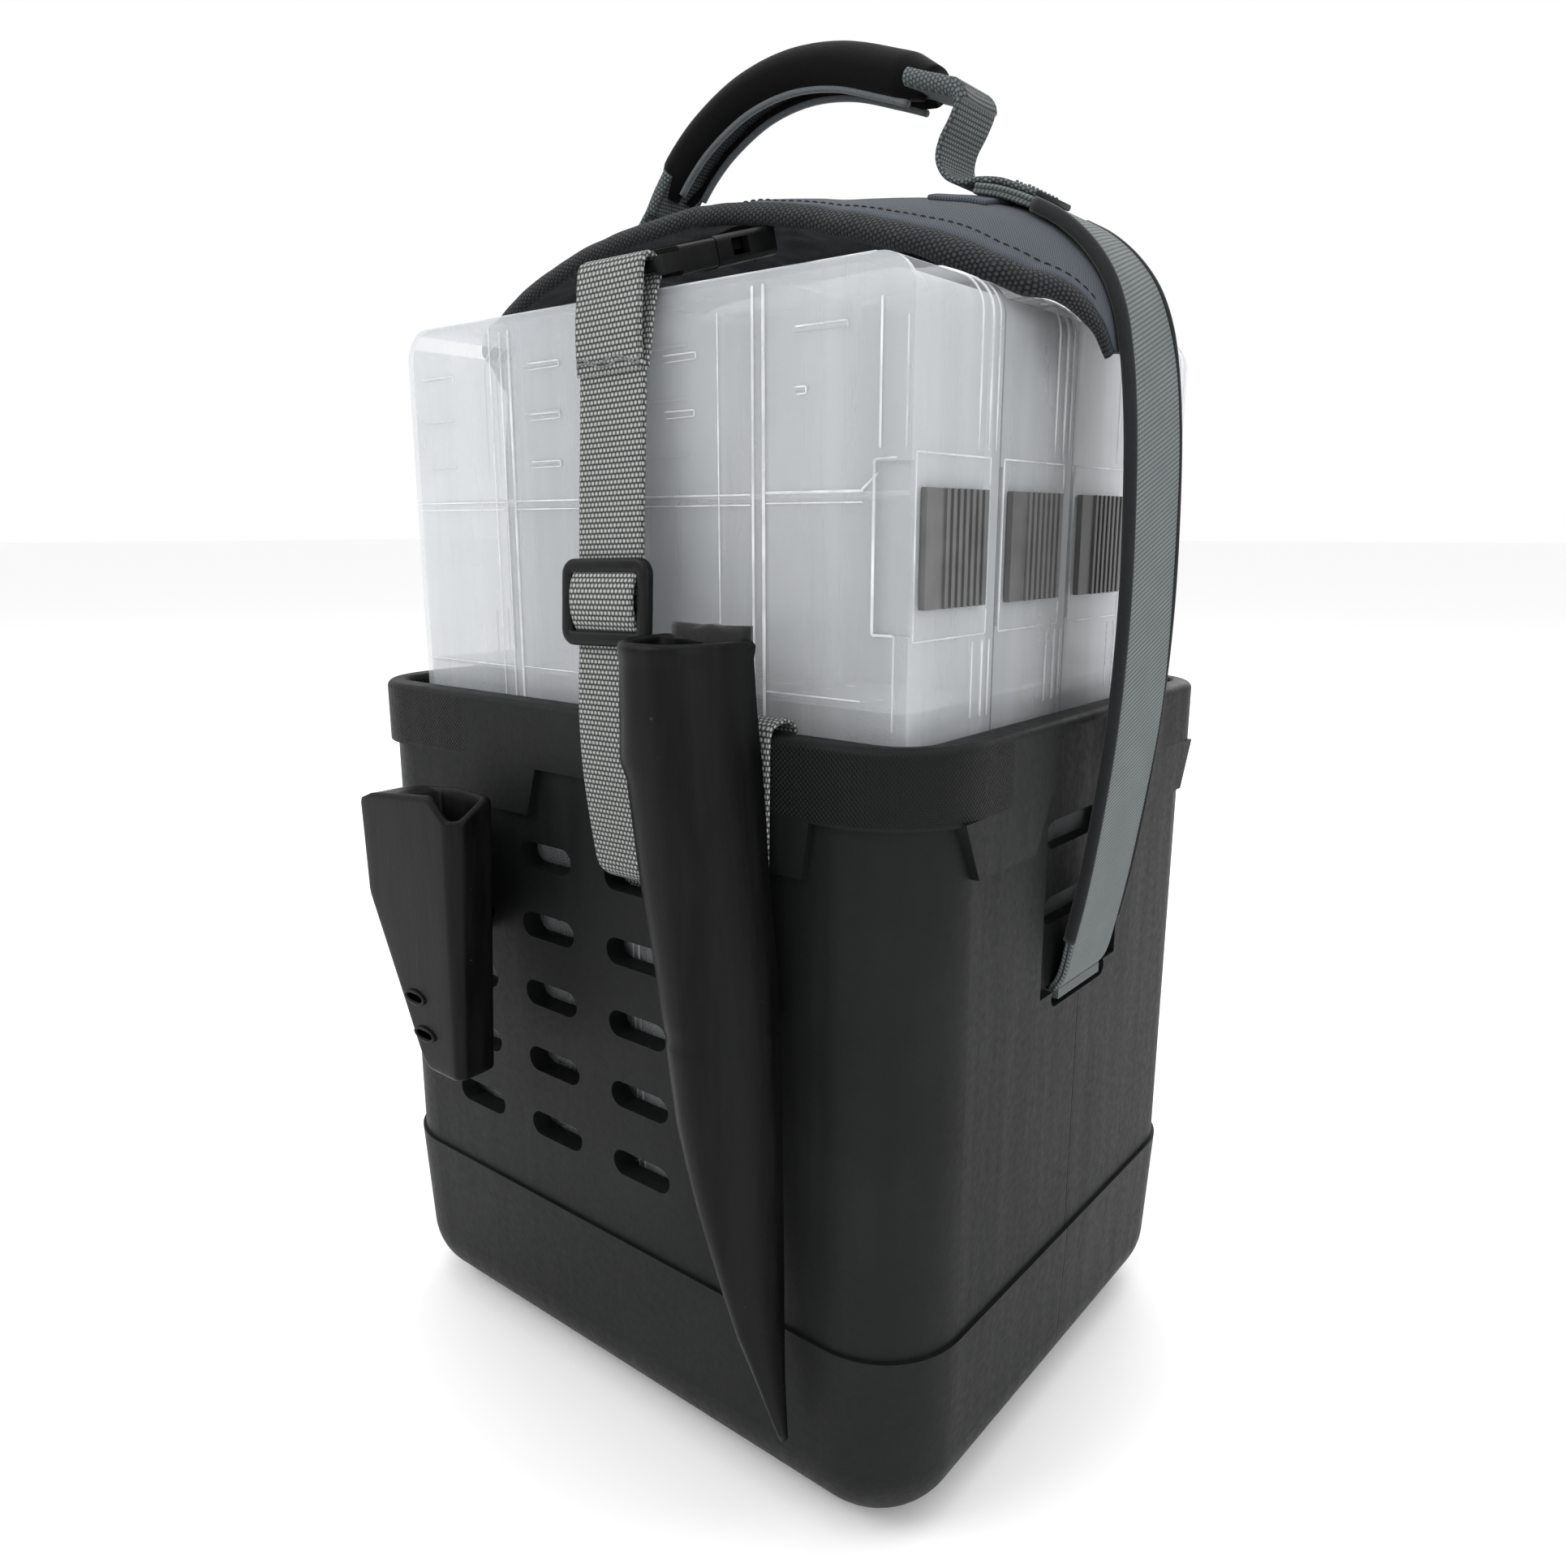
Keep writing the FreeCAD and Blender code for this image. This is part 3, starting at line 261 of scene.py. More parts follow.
def mat_twill(name, dark, light, pitch=1.15, dist=0.22, slant=1.0):
    m = Mat(name, light, 0.82, Sheen_Weight=0.08, Sheen_Roughness=0.5)
    vec, u, v = m.uv()
    d = m.math("ADD", m.math("MULTIPLY", u, slant), v)
    w = m.math("ABSOLUTE", m.math("SINE", m.math("MULTIPLY", d, math.pi / pitch)))
    cross = m.math("ABSOLUTE", m.math("SINE", m.math("MULTIPLY", m.math("SUBTRACT", u, v), math.pi / (pitch * 0.8))))
    fine = m.noise(vec, 3.0, 3.0)
    big = m.noise(vec, 0.03, 3.0)
    h = m.math("ADD", m.math("MULTIPLY", w, 0.75), m.math("MULTIPLY", cross, 0.25))
    t = m.math("ADD", h, m.math("MULTIPLY", m.math("SUBTRACT", fine, 0.5), 0.5))
    c = m.ramp(t, [(0.15, dark), (0.9, light)])
    c = m.mix(m.rng(big, 0.35, 0.7, 0.0, 0.35), c, tuple(x * 0.72 for x in light))
    m.colour(c)
    m.bump(m.math("ADD", h, m.math("MULTIPLY", fine, 0.3)), dist, 0.8)
    return m.m


def mat_eva():
    m = Mat("eva_foam", (0.010, 0.0105, 0.011), 0.55, Specular_IOR_Level=0.12)
    vec, x, y, z = m.pos()
    pebble = m.noise(vec, 1.4, 2.0, 0.5)
    grain = m.noise(vec, 0.35, 3.0, 0.6)
    big = m.noise(vec, 0.016, 3.0, 0.6)
    streak = m.node("ShaderNodeMapping")
    m.link(vec, streak.inputs[0])
    streak.inputs["Scale"].default_value = (1.0, 1.0, 0.06)
    drip = m.noise(streak.outputs[0], 0.12, 3.0, 0.6)
    # crossed knurl on the rim band, round the corners
    d1 = m.math("ABSOLUTE", m.math("SINE", m.math("MULTIPLY", m.math("ADD", m.math("ADD", x, y), z), math.pi / 1.7)))
    d2 = m.math("ABSOLUTE", m.math("SINE", m.math("MULTIPLY", m.math("SUBTRACT", m.math("ADD", x, y), z), math.pi / 1.7)))
    knurl = m.math("MULTIPLY", d1, d2)
    ax, ay = m.math("ABSOLUTE", x), m.math("ABSOLUTE", y)
    corner = m.math("MULTIPLY", m.rng(ax, 64, 70, smooth=True), m.rng(ay, 60, 66, smooth=True))
    band = m.math("MULTIPLY", m.rng(z, 250.6, 251.4), m.rng(z, 273.2, 272.0))
    mask = m.math("MULTIPLY", corner, band)
    # mould parting line down the middle of each side wall
    line = m.math("MULTIPLY", m.rng(ay, 0.55, 0.15), m.math("MULTIPLY", m.rng(ax, 128, 129), m.rng(z, 170, 168)))
    flat = m.math("SUBTRACT", 1.0, mask)
    hgt = m.math("ADD", m.math("MULTIPLY", m.math("MULTIPLY", pebble, flat), 0.16), m.math("MULTIPLY", grain, 0.22))
    hgt = m.math("ADD", hgt, m.math("MULTIPLY", m.math("MULTIPLY", knurl, mask), 1.5))
    hgt = m.math("SUBTRACT", hgt, m.math("MULTIPLY", line, 1.6))
    m.bump(hgt, 0.35, 0.85)
    c = m.ramp(m.math("ADD", m.math("MULTIPLY", big, 0.6), m.math("MULTIPLY", drip, 0.4)), [(0.3, (0.0042, 0.0045, 0.0048)), (0.55, (0.0070, 0.0075, 0.0078)), (0.8, (0.0125, 0.0131, 0.0136))])
    c = m.mix(m.math("MULTIPLY", line, 0.8), c, (0.004, 0.004, 0.004))
    c = m.mix(m.math("MULTIPLY", m.math("MULTIPLY", m.rng(knurl, 0.5, 0.05), mask), 0.6), c, (0.006, 0.006, 0.006))
    m.colour(c)
    m.rough(m.rng(m.math("ADD", m.math("MULTIPLY", drip, 0.5), m.math("MULTIPLY", grain, 0.5)), 0.3, 0.75, 0.42, 0.64))
    return m.m


def mat_holder():
    m = Mat("holder_rubber", (0.007, 0.007, 0.0073), 0.42, Specular_IOR_Level=0.09)
    vec, x, y, z = m.pos()
    streak = m.node("ShaderNodeMapping")
    m.link(vec, streak.inputs[0])
    streak.inputs["Scale"].default_value = (1.0, 1.0, 0.10)
    s = m.noise(streak.outputs[0], 0.14, 4.0, 0.62)
    fine = m.noise(vec, 1.1, 3.0)
    speck = m.rng(m.noise(vec, 0.42, 1.0), 0.79, 0.82)
    m.colour(m.mix(m.math("MULTIPLY", speck, 0.5), m.ramp(s, [(0.3, (0.0020, 0.0021, 0.0022)), (0.7, (0.0064, 0.0066, 0.0068))]), (0.05, 0.05, 0.05)))
    m.rough(m.rng(s, 0.3, 0.75, 0.30, 0.52))
    m.bump(m.math("ADD", m.math("MULTIPLY", fine, 0.25), m.math("MULTIPLY", s, 0.5)), 0.3, 0.7)
    return m.m


def mat_acetal():
    m = Mat("acetal_black", (0.005, 0.0052, 0.0055), 0.38, Specular_IOR_Level=0.13)
    vec, x, y, z = m.pos()
    fine = m.noise(vec, 1.8, 3.0)
    big = m.noise(vec, 0.12, 2.0)
    m.rough(m.rng(big, 0.3, 0.7, 0.30, 0.48))
    m.colour(m.ramp(big, [(0.3, (0.0030, 0.0032, 0.0034)), (0.75, (0.0065, 0.0068, 0.0072))]))
    m.bump(fine, 0.06, 0.6)
    return m.m


def mat_latch():
    m = Mat("latch_grey", (0.085, 0.086, 0.087), 0.42, Specular_IOR_Level=0.3)
    vec, x, y, z = m.pos()
    fine = m.noise(vec, 1.6, 3.0)
    big = m.noise(vec, 0.09, 2.0)
    m.rough(m.rng(big, 0.3, 0.7, 0.36, 0.5))
    m.colour(m.ramp(big, [(0.3, (0.088, 0.090, 0.088)), (0.75, (0.120, 0.123, 0.120))]))
    m.bump(fine, 0.05, 0.6)
    return m.m


def mat_tray(name="tray_clear", alpha=0.29, tint=(0.57, 0.595, 0.62), top=(0.65, 0.67, 0.685)):
    m = Mat(name, tint, 0.24, Specular_IOR_Level=0.5)
    vec, x, y, z = m.pos()
    haze = m.noise(vec, 0.012, 3.0, 0.5)
    streak = m.node("ShaderNodeMapping")
    m.link(vec, streak.inputs[0])
    streak.inputs["Scale"].default_value = (1.0, 1.0, 0.05)
    flow = m.noise(streak.outputs[0], 0.045, 3.0, 0.5)
    fine = m.noise(vec, 0.5, 2.0)
    low = m.mix(m.rng(haze, 0.35, 0.65), (*tint,), (*top,))
    m.colour(low)
    lw = m.node("ShaderNodeLayerWeight")
    lw.inputs[0].default_value = 0.35
    edge = m.math("MULTIPLY", m.math("POWER", lw.outputs["Facing"], 1.6), 0.5)
    a = m.math("ADD", m.math("ADD", m.rng(flow, 0.3, 0.7, alpha * 0.8, alpha * 1.2), edge), 0.0, clamp=True)
    m.link(a, m.bsdf.inputs["Alpha"])
    m.rough(m.rng(flow, 0.3, 0.75, 0.17, 0.32))
    m.bump(m.math("ADD", m.math("MULTIPLY", flow, 0.6), m.math("MULTIPLY", fine, 0.06)), 0.25, 0.5)
    return m.m


def mat_neoprene():
    m = Mat("neoprene_black", (0.006, 0.006, 0.0065), 0.85, Sheen_Weight=0.08, Sheen_Roughness=0.35, Specular_IOR_Level=0.08)
    vec, u, v = m.uv()
    fine = m.noise(vec, 5.0, 3.0)
    h, su, sv = weave(m, u, v, 0.8, 0.8)
    m.colour(m.ramp(m.math("ADD", m.math("MULTIPLY", fine, 0.6), m.math("MULTIPLY", h, 0.4)), [(0.3, (0.0018, 0.0018, 0.0020)), (0.85, (0.0058, 0.0060, 0.0066))]))
    m.bump(m.math("ADD", fine, h), 0.10, 0.7)
    return m.m


def mat_mesh_pad():
    m = Mat("air_mesh", (0.022, 0.024, 0.028), 0.85, Sheen_Weight=0.08, Sheen_Roughness=0.5, Specular_IOR_Level=0.1)
    vec, x, y, z = m.pos()
    vor = m.node("ShaderNodeTexVoronoi")
    vor.feature = "DISTANCE_TO_EDGE"
    vor.inputs["Scale"].default_value = 0.42
    vor.inputs["Randomness"].default_value = 0.15
    m.link(vec, vor.inputs["Vector"])
    cell = m.rng(vor.outputs[0], 0.04, 0.30)
    fine = m.noise(vec, 2.5, 3.0)
    t = m.math("ADD", m.math("MULTIPLY", cell, 0.7), m.math("MULTIPLY", fine, 0.3))
    m.colour(m.ramp(t, [(0.2, (0.040, 0.044, 0.050)), (0.8, (0.010, 0.011, 0.013))]))
    m.bump(m.math("SUBTRACT", 1.0, t), 0.5, 0.8)
    return m.m


def mat_thread(name, col):
    m = Mat(name, col, 0.7, Sheen_Weight=0.2)
    vec, x, y, z = m.pos()
    n = m.noise(vec, 3.0, 2.0)
    m.colour(m.ramp(n, [(0.3, tuple(c * 0.6 for c in col)), (0.7, tuple(min(1, c * 1.3) for c in col))]))
    m.bump(n, 0.15, 0.6)
    return m.m


EVA, HOLD, ACE, LAT = mat_eva(), mat_holder(), mat_acetal(), mat_latch()
TRAY = mat_tray()
TRAY_IN = mat_tray("tray_divider", 0.26, (0.68, 0.71, 0.74), (0.80, 0.82, 0.84))


# Near-white, partly opaque material for the thin tray strips: painted highlights where light catches the tray edges
def mat_rim_highlight():
    m = Mat("tray_rim_highlight", (0.80, 0.82, 0.84), 0.18, Specular_IOR_Level=0.5)
    vec, x, y, z = m.pos()
    n = m.noise(vec, 0.05, 2.0)
    m.colour(m.ramp(n, [(0.3, (0.70, 0.72, 0.745)), (0.7, (0.90, 0.91, 0.92))]))
    m.link(m.rng(n, 0.3, 0.7, 0.22, 0.55), m.bsdf.inputs["Alpha"])
    return m.m


EDGE = mat_rim_highlight()
WEB_L, WEB_G = mat_webbing_flecked(), mat_webbing_grey()
WEB_H = mat_basket("webbing_handle", 1.55, 1.5, (0.016, 0.019, 0.020), (0.072, 0.083, 0.085), (0.150, 0.165, 0.168), 0.4)
WEB_D = mat_basket("webbing_dark", 1.5, 1.5, (0.003, 0.0035, 0.004), (0.014, 0.0155, 0.017), (0.034, 0.036, 0.039), 0.4)
BIND = mat_basket("binding_weave", 1.65, 1.5, (0.0020, 0.0022, 0.0027), (0.011, 0.012, 0.0135), (0.040, 0.042, 0.046), 0.5)
HOODM = mat_twill("hood_twill", (0.017, 0.021, 0.028), (0.072, 0.083, 0.100))
LINING = mat_twill("hood_lining", (0.003, 0.004, 0.006), (0.017, 0.021, 0.027), 1.4)
NEO, PAD = mat_neoprene(), mat_mesh_pad()
THREAD = mat_thread("thread_grey", (0.16, 0.17, 0.17))
THREAD_D = mat_thread("thread_dark", (0.012, 0.013, 0.014))
PIPE = mat_thread("piping_grey", (0.10, 0.11, 0.115))


# ------------------------------------------------------------------ geometry kit
def curve(points, step=2.0, vals=()):
    """Smooth points (mm) into an evenly spaced centripetal Catmull-Rom line; vals are lists interpolated with it."""
    P = np.array(points, float)
    n = len(P)
    ext = np.vstack([2 * P[0] - P[1], P, 2 * P[-1] - P[-2]])
    out, par = [], []
    for i in range(n - 1):
        p0, p1, p2, p3 = ext[i : i + 4]
        t0 = 0.0
        t1 = t0 + max(np.linalg.norm(p1 - p0), 1e-6) ** 0.5
        t2 = t1 + max(np.linalg.norm(p2 - p1), 1e-6) ** 0.5
        t3 = t2 + max(np.linalg.norm(p3 - p2), 1e-6) ** 0.5
        for k in range(24):
            t = t1 + (t2 - t1) * k / 24
            a1 = (t1 - t) / (t1 - t0) * p0 + (t - t0) / (t1 - t0) * p1
            a2 = (t2 - t) / (t2 - t1) * p1 + (t - t1) / (t2 - t1) * p2
            a3 = (t3 - t) / (t3 - t2) * p2 + (t - t2) / (t3 - t2) * p3
            b1 = (t2 - t) / (t2 - t0) * a1 + (t - t0) / (t2 - t0) * a2
            b2 = (t3 - t) / (t3 - t1) * a2 + (t - t1) / (t3 - t1) * a3
            out.append((t2 - t) / (t2 - t1) * b1 + (t - t1) / (t2 - t1) * b2)
            par.append(i + k / 24)
    out.append(P[-1])
    par.append(n - 1)
    out, par = np.array(out), np.array(par)
    s = np.concatenate([[0], np.cumsum(np.linalg.norm(np.diff(out, axis=0), axis=1))])
    m = max(2, int(round(s[-1] / step)))
    q = np.linspace(0, s[-1], m + 1)
    line = np.stack([np.interp(q, s, out[:, i]) for i in range(out.shape[1])], 1)
    pp = np.interp(q, s, par)
    vs = [np.interp(pp, range(n), v) for v in vals]
    return line, q, vs


def unit(v):
    return v / np.maximum(np.linalg.norm(v, axis=-1, keepdims=True), 1e-12)


def frames(line, across):
    """Tangent, width and normal directions; across is one vector or one per point."""
    T = unit(np.gradient(line, axis=0))
    W = np.broadcast_to(np.array(across, float), line.shape).copy()
    W = unit(W - (W * T).sum(1, keepdims=True) * T)
    return T, W, np.cross(W, T)


def make(name, verts, faces, mat, uv=None, smooth=True, mats=None, face_mat=None):
    me = bpy.data.meshes.new(name)
    me.from_pydata([tuple(v) for v in np.asarray(verts, float) * MM], [], faces)
    if uv is not None:
        lay = me.uv_layers.new(name="flat")
        k = 0
        for f, fu in zip(faces, uv):
            for c in fu:
                lay.data[k].uv = (c[0] * MM, c[1] * MM)
                k += 1
    for mm in ([mat] if mats is None else mats):
        me.materials.append(mm)
    if face_mat is not None:
        for p, i in zip(me.polygons, face_mat):
            p.material_index = int(i)
    if smooth:
        for p in me.polygons:
            p.use_smooth = True
    me.validate()
    o = bpy.data.objects.new(name, me)
    scene.collection.objects.link(o)
    return o


def sweep(name, line, W, N, section, mat, closed_ring=True, v0=0.0, mats=None, sec_mat=None, caps=True):
    """Sweeps a section, a function of the station returning [(a, b, u)], along a line. Closed section, capped ends."""
    s = np.concatenate([[0], np.cumsum(np.linalg.norm(np.diff(line, axis=0), axis=1))]) + v0
    rings = [np.array(section(i)) for i in range(len(line))]
    k = len(rings[0])
    verts, faces, uv, fm = [], [], [], []
    for i, r in enumerate(rings):
        for a, b, u in r:
            verts.append(line[i] + W[i] * a + N[i] * b)
    for i in range(len(line) - 1):
        for j in range(k):
            j2 = (j + 1) % k
            faces.append((i * k + j, i * k + j2, (i + 1) * k + j2, (i + 1) * k + j))
            u1 = rings[i][j][2]
            u2 = rings[i][j2][2] if j2 else rings[i][j][2] + 0.6
            uv.append([(u1, s[i]), (u2, s[i]), (u2, s[i + 1]), (u1, s[i + 1])])
            fm.append(0 if sec_mat is None else sec_mat[j])
    if caps:
        for i, flip in ((0, True), (len(line) - 1, False)):
            c = len(verts)
            verts.append(np.mean([verts[i * k + j] for j in range(k)], axis=0))
            for j in range(k):
                j2 = (j + 1) % k
                f = (c, i * k + j, i * k + j2)
                faces.append(f[::-1] if flip else f)
                uv.append([(0, s[i])] * 3)
                fm.append(0)
    o = make(name, verts, faces, mat, uv, mats=mats, face_mat=fm if mats else None)
    fix_normals(o)
    return o


def fix_normals(o):
    bm = bmesh.new()
    bm.from_mesh(o.data)
    bmesh.ops.recalc_face_normals(bm, faces=bm.faces)
    bm.to_mesh(o.data)
    bm.free()


def flat_section(half, thick, edge=None, crown=0.0, n=10, lift=0.0):
    """Webbing section: flat faces, rounded selvage edges, an optional crown."""
    e = thick / 2
    top = [(-half + e + (2 * half - thick) * i / n) for i in range(n + 1)]
    pts = []
    for x in top:
        c = crown * (1 - (x / half) ** 2)
        pts.append((x, e + c + lift, x))
    for a in (60, 30, 0, -30, -60):
        pts.append((half - e + e * math.cos(math.radians(a)), e * math.sin(math.radians(a)) + lift, half + (90 - a) * e / 57))
    for x in reversed(top):
        c = crown * (1 - (x / half) ** 2)
        pts.append((x, -e + c + lift, x + 2 * half + 3))
    for a in (240, 210, 180, 150, 120):
        pts.append((-half + e + e * math.cos(math.radians(a)), e * math.sin(math.radians(a)) + lift, -half - (a - 90) * e / 57))
    return pts


def webbing(name, points, across, half, thick, mat, step=2.0, v0=0.0, crown=0.0, wob=0.0, seed=0):
    halfs = half if isinstance(half, (list, tuple)) else [half] * len(points)
    line, s, (hw,) = curve(points, step, (halfs,))
    T, W, N = frames(line, across)
    if wob:
        for i in range(len(line)):
            line[i] += N[i] * wob * noise.noise(Vector((s[i] * 0.02, seed * 7.3, 0.0))) * min(1, i / 6, (len(line) - 1 - i) / 6)
    return sweep(name, line, W, N, lambda i: flat_section(hw[i], thick, crown=crown), mat, v0=v0)


def oval_section(a, b, n=20, power=1.0, flat_low=1.0):
    pts = []
    per = math.pi * (a + b)
    for i in range(n):
        t = 2 * math.pi * i / n
        x, y = a * math.cos(t), b * math.sin(t)
        if y < 0:
            y *= flat_low
        pts.append((x, y, per * i / n))
    return pts


def stitches(name, pts, across, length=2.2, gap=1.3, r=0.35, mat=None, lift=0.0):
    """A row of short raised stitches along a line (mm); across gives the surface normal direction."""
    line, s, _ = curve(pts, 0.8)
    T = unit(np.gradient(line, axis=0))
    Nn = unit(np.broadcast_to(np.array(across, float), line.shape))
    total = s[-1]
    verts, faces = [], []
    pos = 0.3
    while pos + length < total:
        a = np.array([np.interp(pos, s, line[:, i]) for i in range(3)])
        b = np.array([np.interp(pos + length, s, line[:, i]) for i in range(3)])
        i = int(np.searchsorted(s, pos + length / 2))
        i = min(i, len(line) - 1)
        n, t = Nn[i], T[i]
        w = unit(np.cross(n, t))
        base = len(verts)
        for f, sc in ((0.0, 0.35), (0.2, 0.9), (0.5, 1.0), (0.8, 0.9), (1.0, 0.35)):
            c = a + (b - a) * f + n * (lift + r * 0.5 * math.sin(math.pi * f))
            for k in range(6):
                th = k * math.pi / 3
                verts.append(c + (w * math.cos(th) + n * math.sin(th)) * r * sc)
        for q in range(4):
            for k in range(6):
                k2 = (k + 1) % 6
                faces.append((base + q * 6 + k, base + q * 6 + k2, base + q * 6 + 6 + k2, base + q * 6 + 6 + k))
        faces.append(tuple(base + k for k in reversed(range(6))))
        faces.append(tuple(base + 24 + k for k in range(6)))
        pos += length + gap
    o = make(name, verts, faces, mat or THREAD)
    fix_normals(o)
    return o


def bevel(o, width_mm, segs=2, angle=35):
    m = o.modifiers.new("edge", "BEVEL")
    m.width = width_mm * MM
    m.segments = segs
    m.limit_method = "ANGLE"
    m.angle_limit = math.radians(angle)
    m.harden_normals = False
    return m


def cad(node, mat, bev=None, segs=2, angle=35, smooth=40):
    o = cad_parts[node]
    o.data.materials.clear()
    o.data.materials.append(mat)
    if bev:
        bevel(o, bev, segs, angle)
    if smooth:
        try:
            bpy.context.view_layer.objects.active = o
            for p in o.data.polygons:
                p.use_smooth = True
            e = o.modifiers.new("split", "EDGE_SPLIT")
            e.split_angle = math.radians(smooth)
        except Exception as err:
            print("smooth", node, err)
    return o


def box_piece(name, lo, hi, mat, bev=0.4, segs=2):
    """A box with rounded edges, mm."""
    bm = bmesh.new()
    bmesh.ops.create_cube(bm, size=1.0)
    for v in bm.verts:
        v.co = Vector([(lo[i] + hi[i]) / 2 + v.co[i] * (hi[i] - lo[i]) for i in range(3)]) * MM
    bmesh.ops.bevel(bm, geom=list(bm.edges), offset=bev * MM, segments=segs, profile=0.5, affect="EDGES")
    me = bpy.data.meshes.new(name)
    bm.to_mesh(me)
    bm.free()
    me.materials.append(mat)
    for p in me.polygons:
        p.use_smooth = True
    o = bpy.data.objects.new(name, me)
    scene.collection.objects.link(o)
    return o


# ------------------------------------------------------------------ hard parts kept from CAD
cad("bucket_shell", EVA, None, smooth=38)
for n in (1, 2, 3, 4):
    cad(f"tray_{n}_base", TRAY, 0.5, 2)
    cad(f"tray_{n}_lid", TRAY, 0.5, 2)
    cad(f"tray_{n}_dividers", TRAY_IN, 0.3, 1)
    cad(f"tray_{n}_latch_upper", LAT, 0.35, 2, 30)
    cad(f"tray_{n}_latch_lower", LAT, 0.35, 2, 30)
for nm in ("buckle_male", "buckle_female"):
    cad(nm, ACE, 0.8, 3, 30)
cad("triglide_slider", ACE, 1.0, 3, 30)
for nm in ("ladder_lock_right", "ladder_lock_left"):
    cad(nm, ACE, 0.7, 2, 30)
for nm in ("plier_clip", "sheath_clip"):
    cad(nm, HOLD, 0.4, 2, 30)
for nm in ("side_strap_anchor_right", "side_strap_anchor_left"):
    cad(nm, mat_thread("anchor_webbing_" + nm[-5:], (0.06, 0.07, 0.07)), 0.5, 2, 30)

def tubes(name, paths, mat, r=0.35, k=6):
    """Several thin round lines in one mesh; a path is a list of mm points, or (points, radius)."""
    verts, faces = [], []
    for p in paths:
        rr = r
        if isinstance(p, tuple):
            p, rr = p
        line = np.array(p, float)
        T = unit(np.gradient(line, axis=0))
        ref = np.array([0.0, 0.0, 1.0]) if abs(T[:, 2]).mean() < 0.8 else np.array([0.0, 1.0, 0.0])
        for i in range(len(line)):
            a = unit(np.cross(T[i], ref if abs(T[i] @ ref) < 0.95 else np.array([1.0, 0, 0])))
            b = np.cross(T[i], a)
            sc = 0.4 if i in (0, len(line) - 1) else 1.0
            for q in range(k):
                th = 2 * math.pi * q / k
                verts.append(line[i] + (a * math.cos(th) + b * math.sin(th)) * rr * sc)
        b0 = len(verts) - len(line) * k
        for i in range(len(line) - 1):
            for q in range(k):
                q2 = (q + 1) % k
                faces.append((b0 + i * k + q, b0 + i * k + q2, b0 + (i + 1) * k + q2, b0 + (i + 1) * k + q))
        faces.append(tuple(b0 + q for q in reversed(range(k))))
        faces.append(tuple(b0 + (len(line) - 1) * k + q for q in range(k)))
    o = make(name, verts, faces, mat)
    fix_normals(o)
    return o


def seg(a, b, n=6):
    """Straight line with short tapered ends."""
    a, b = np.array(a, float), np.array(b, float)
    L = np.linalg.norm(b - a)
    ts = [0, min(0.5, 0.6 / L)] + [i / n for i in range(1, n)] + [1 - min(0.5, 0.6 / L), 1]
    return [a + (b - a) * t for t in sorted(set(ts))]
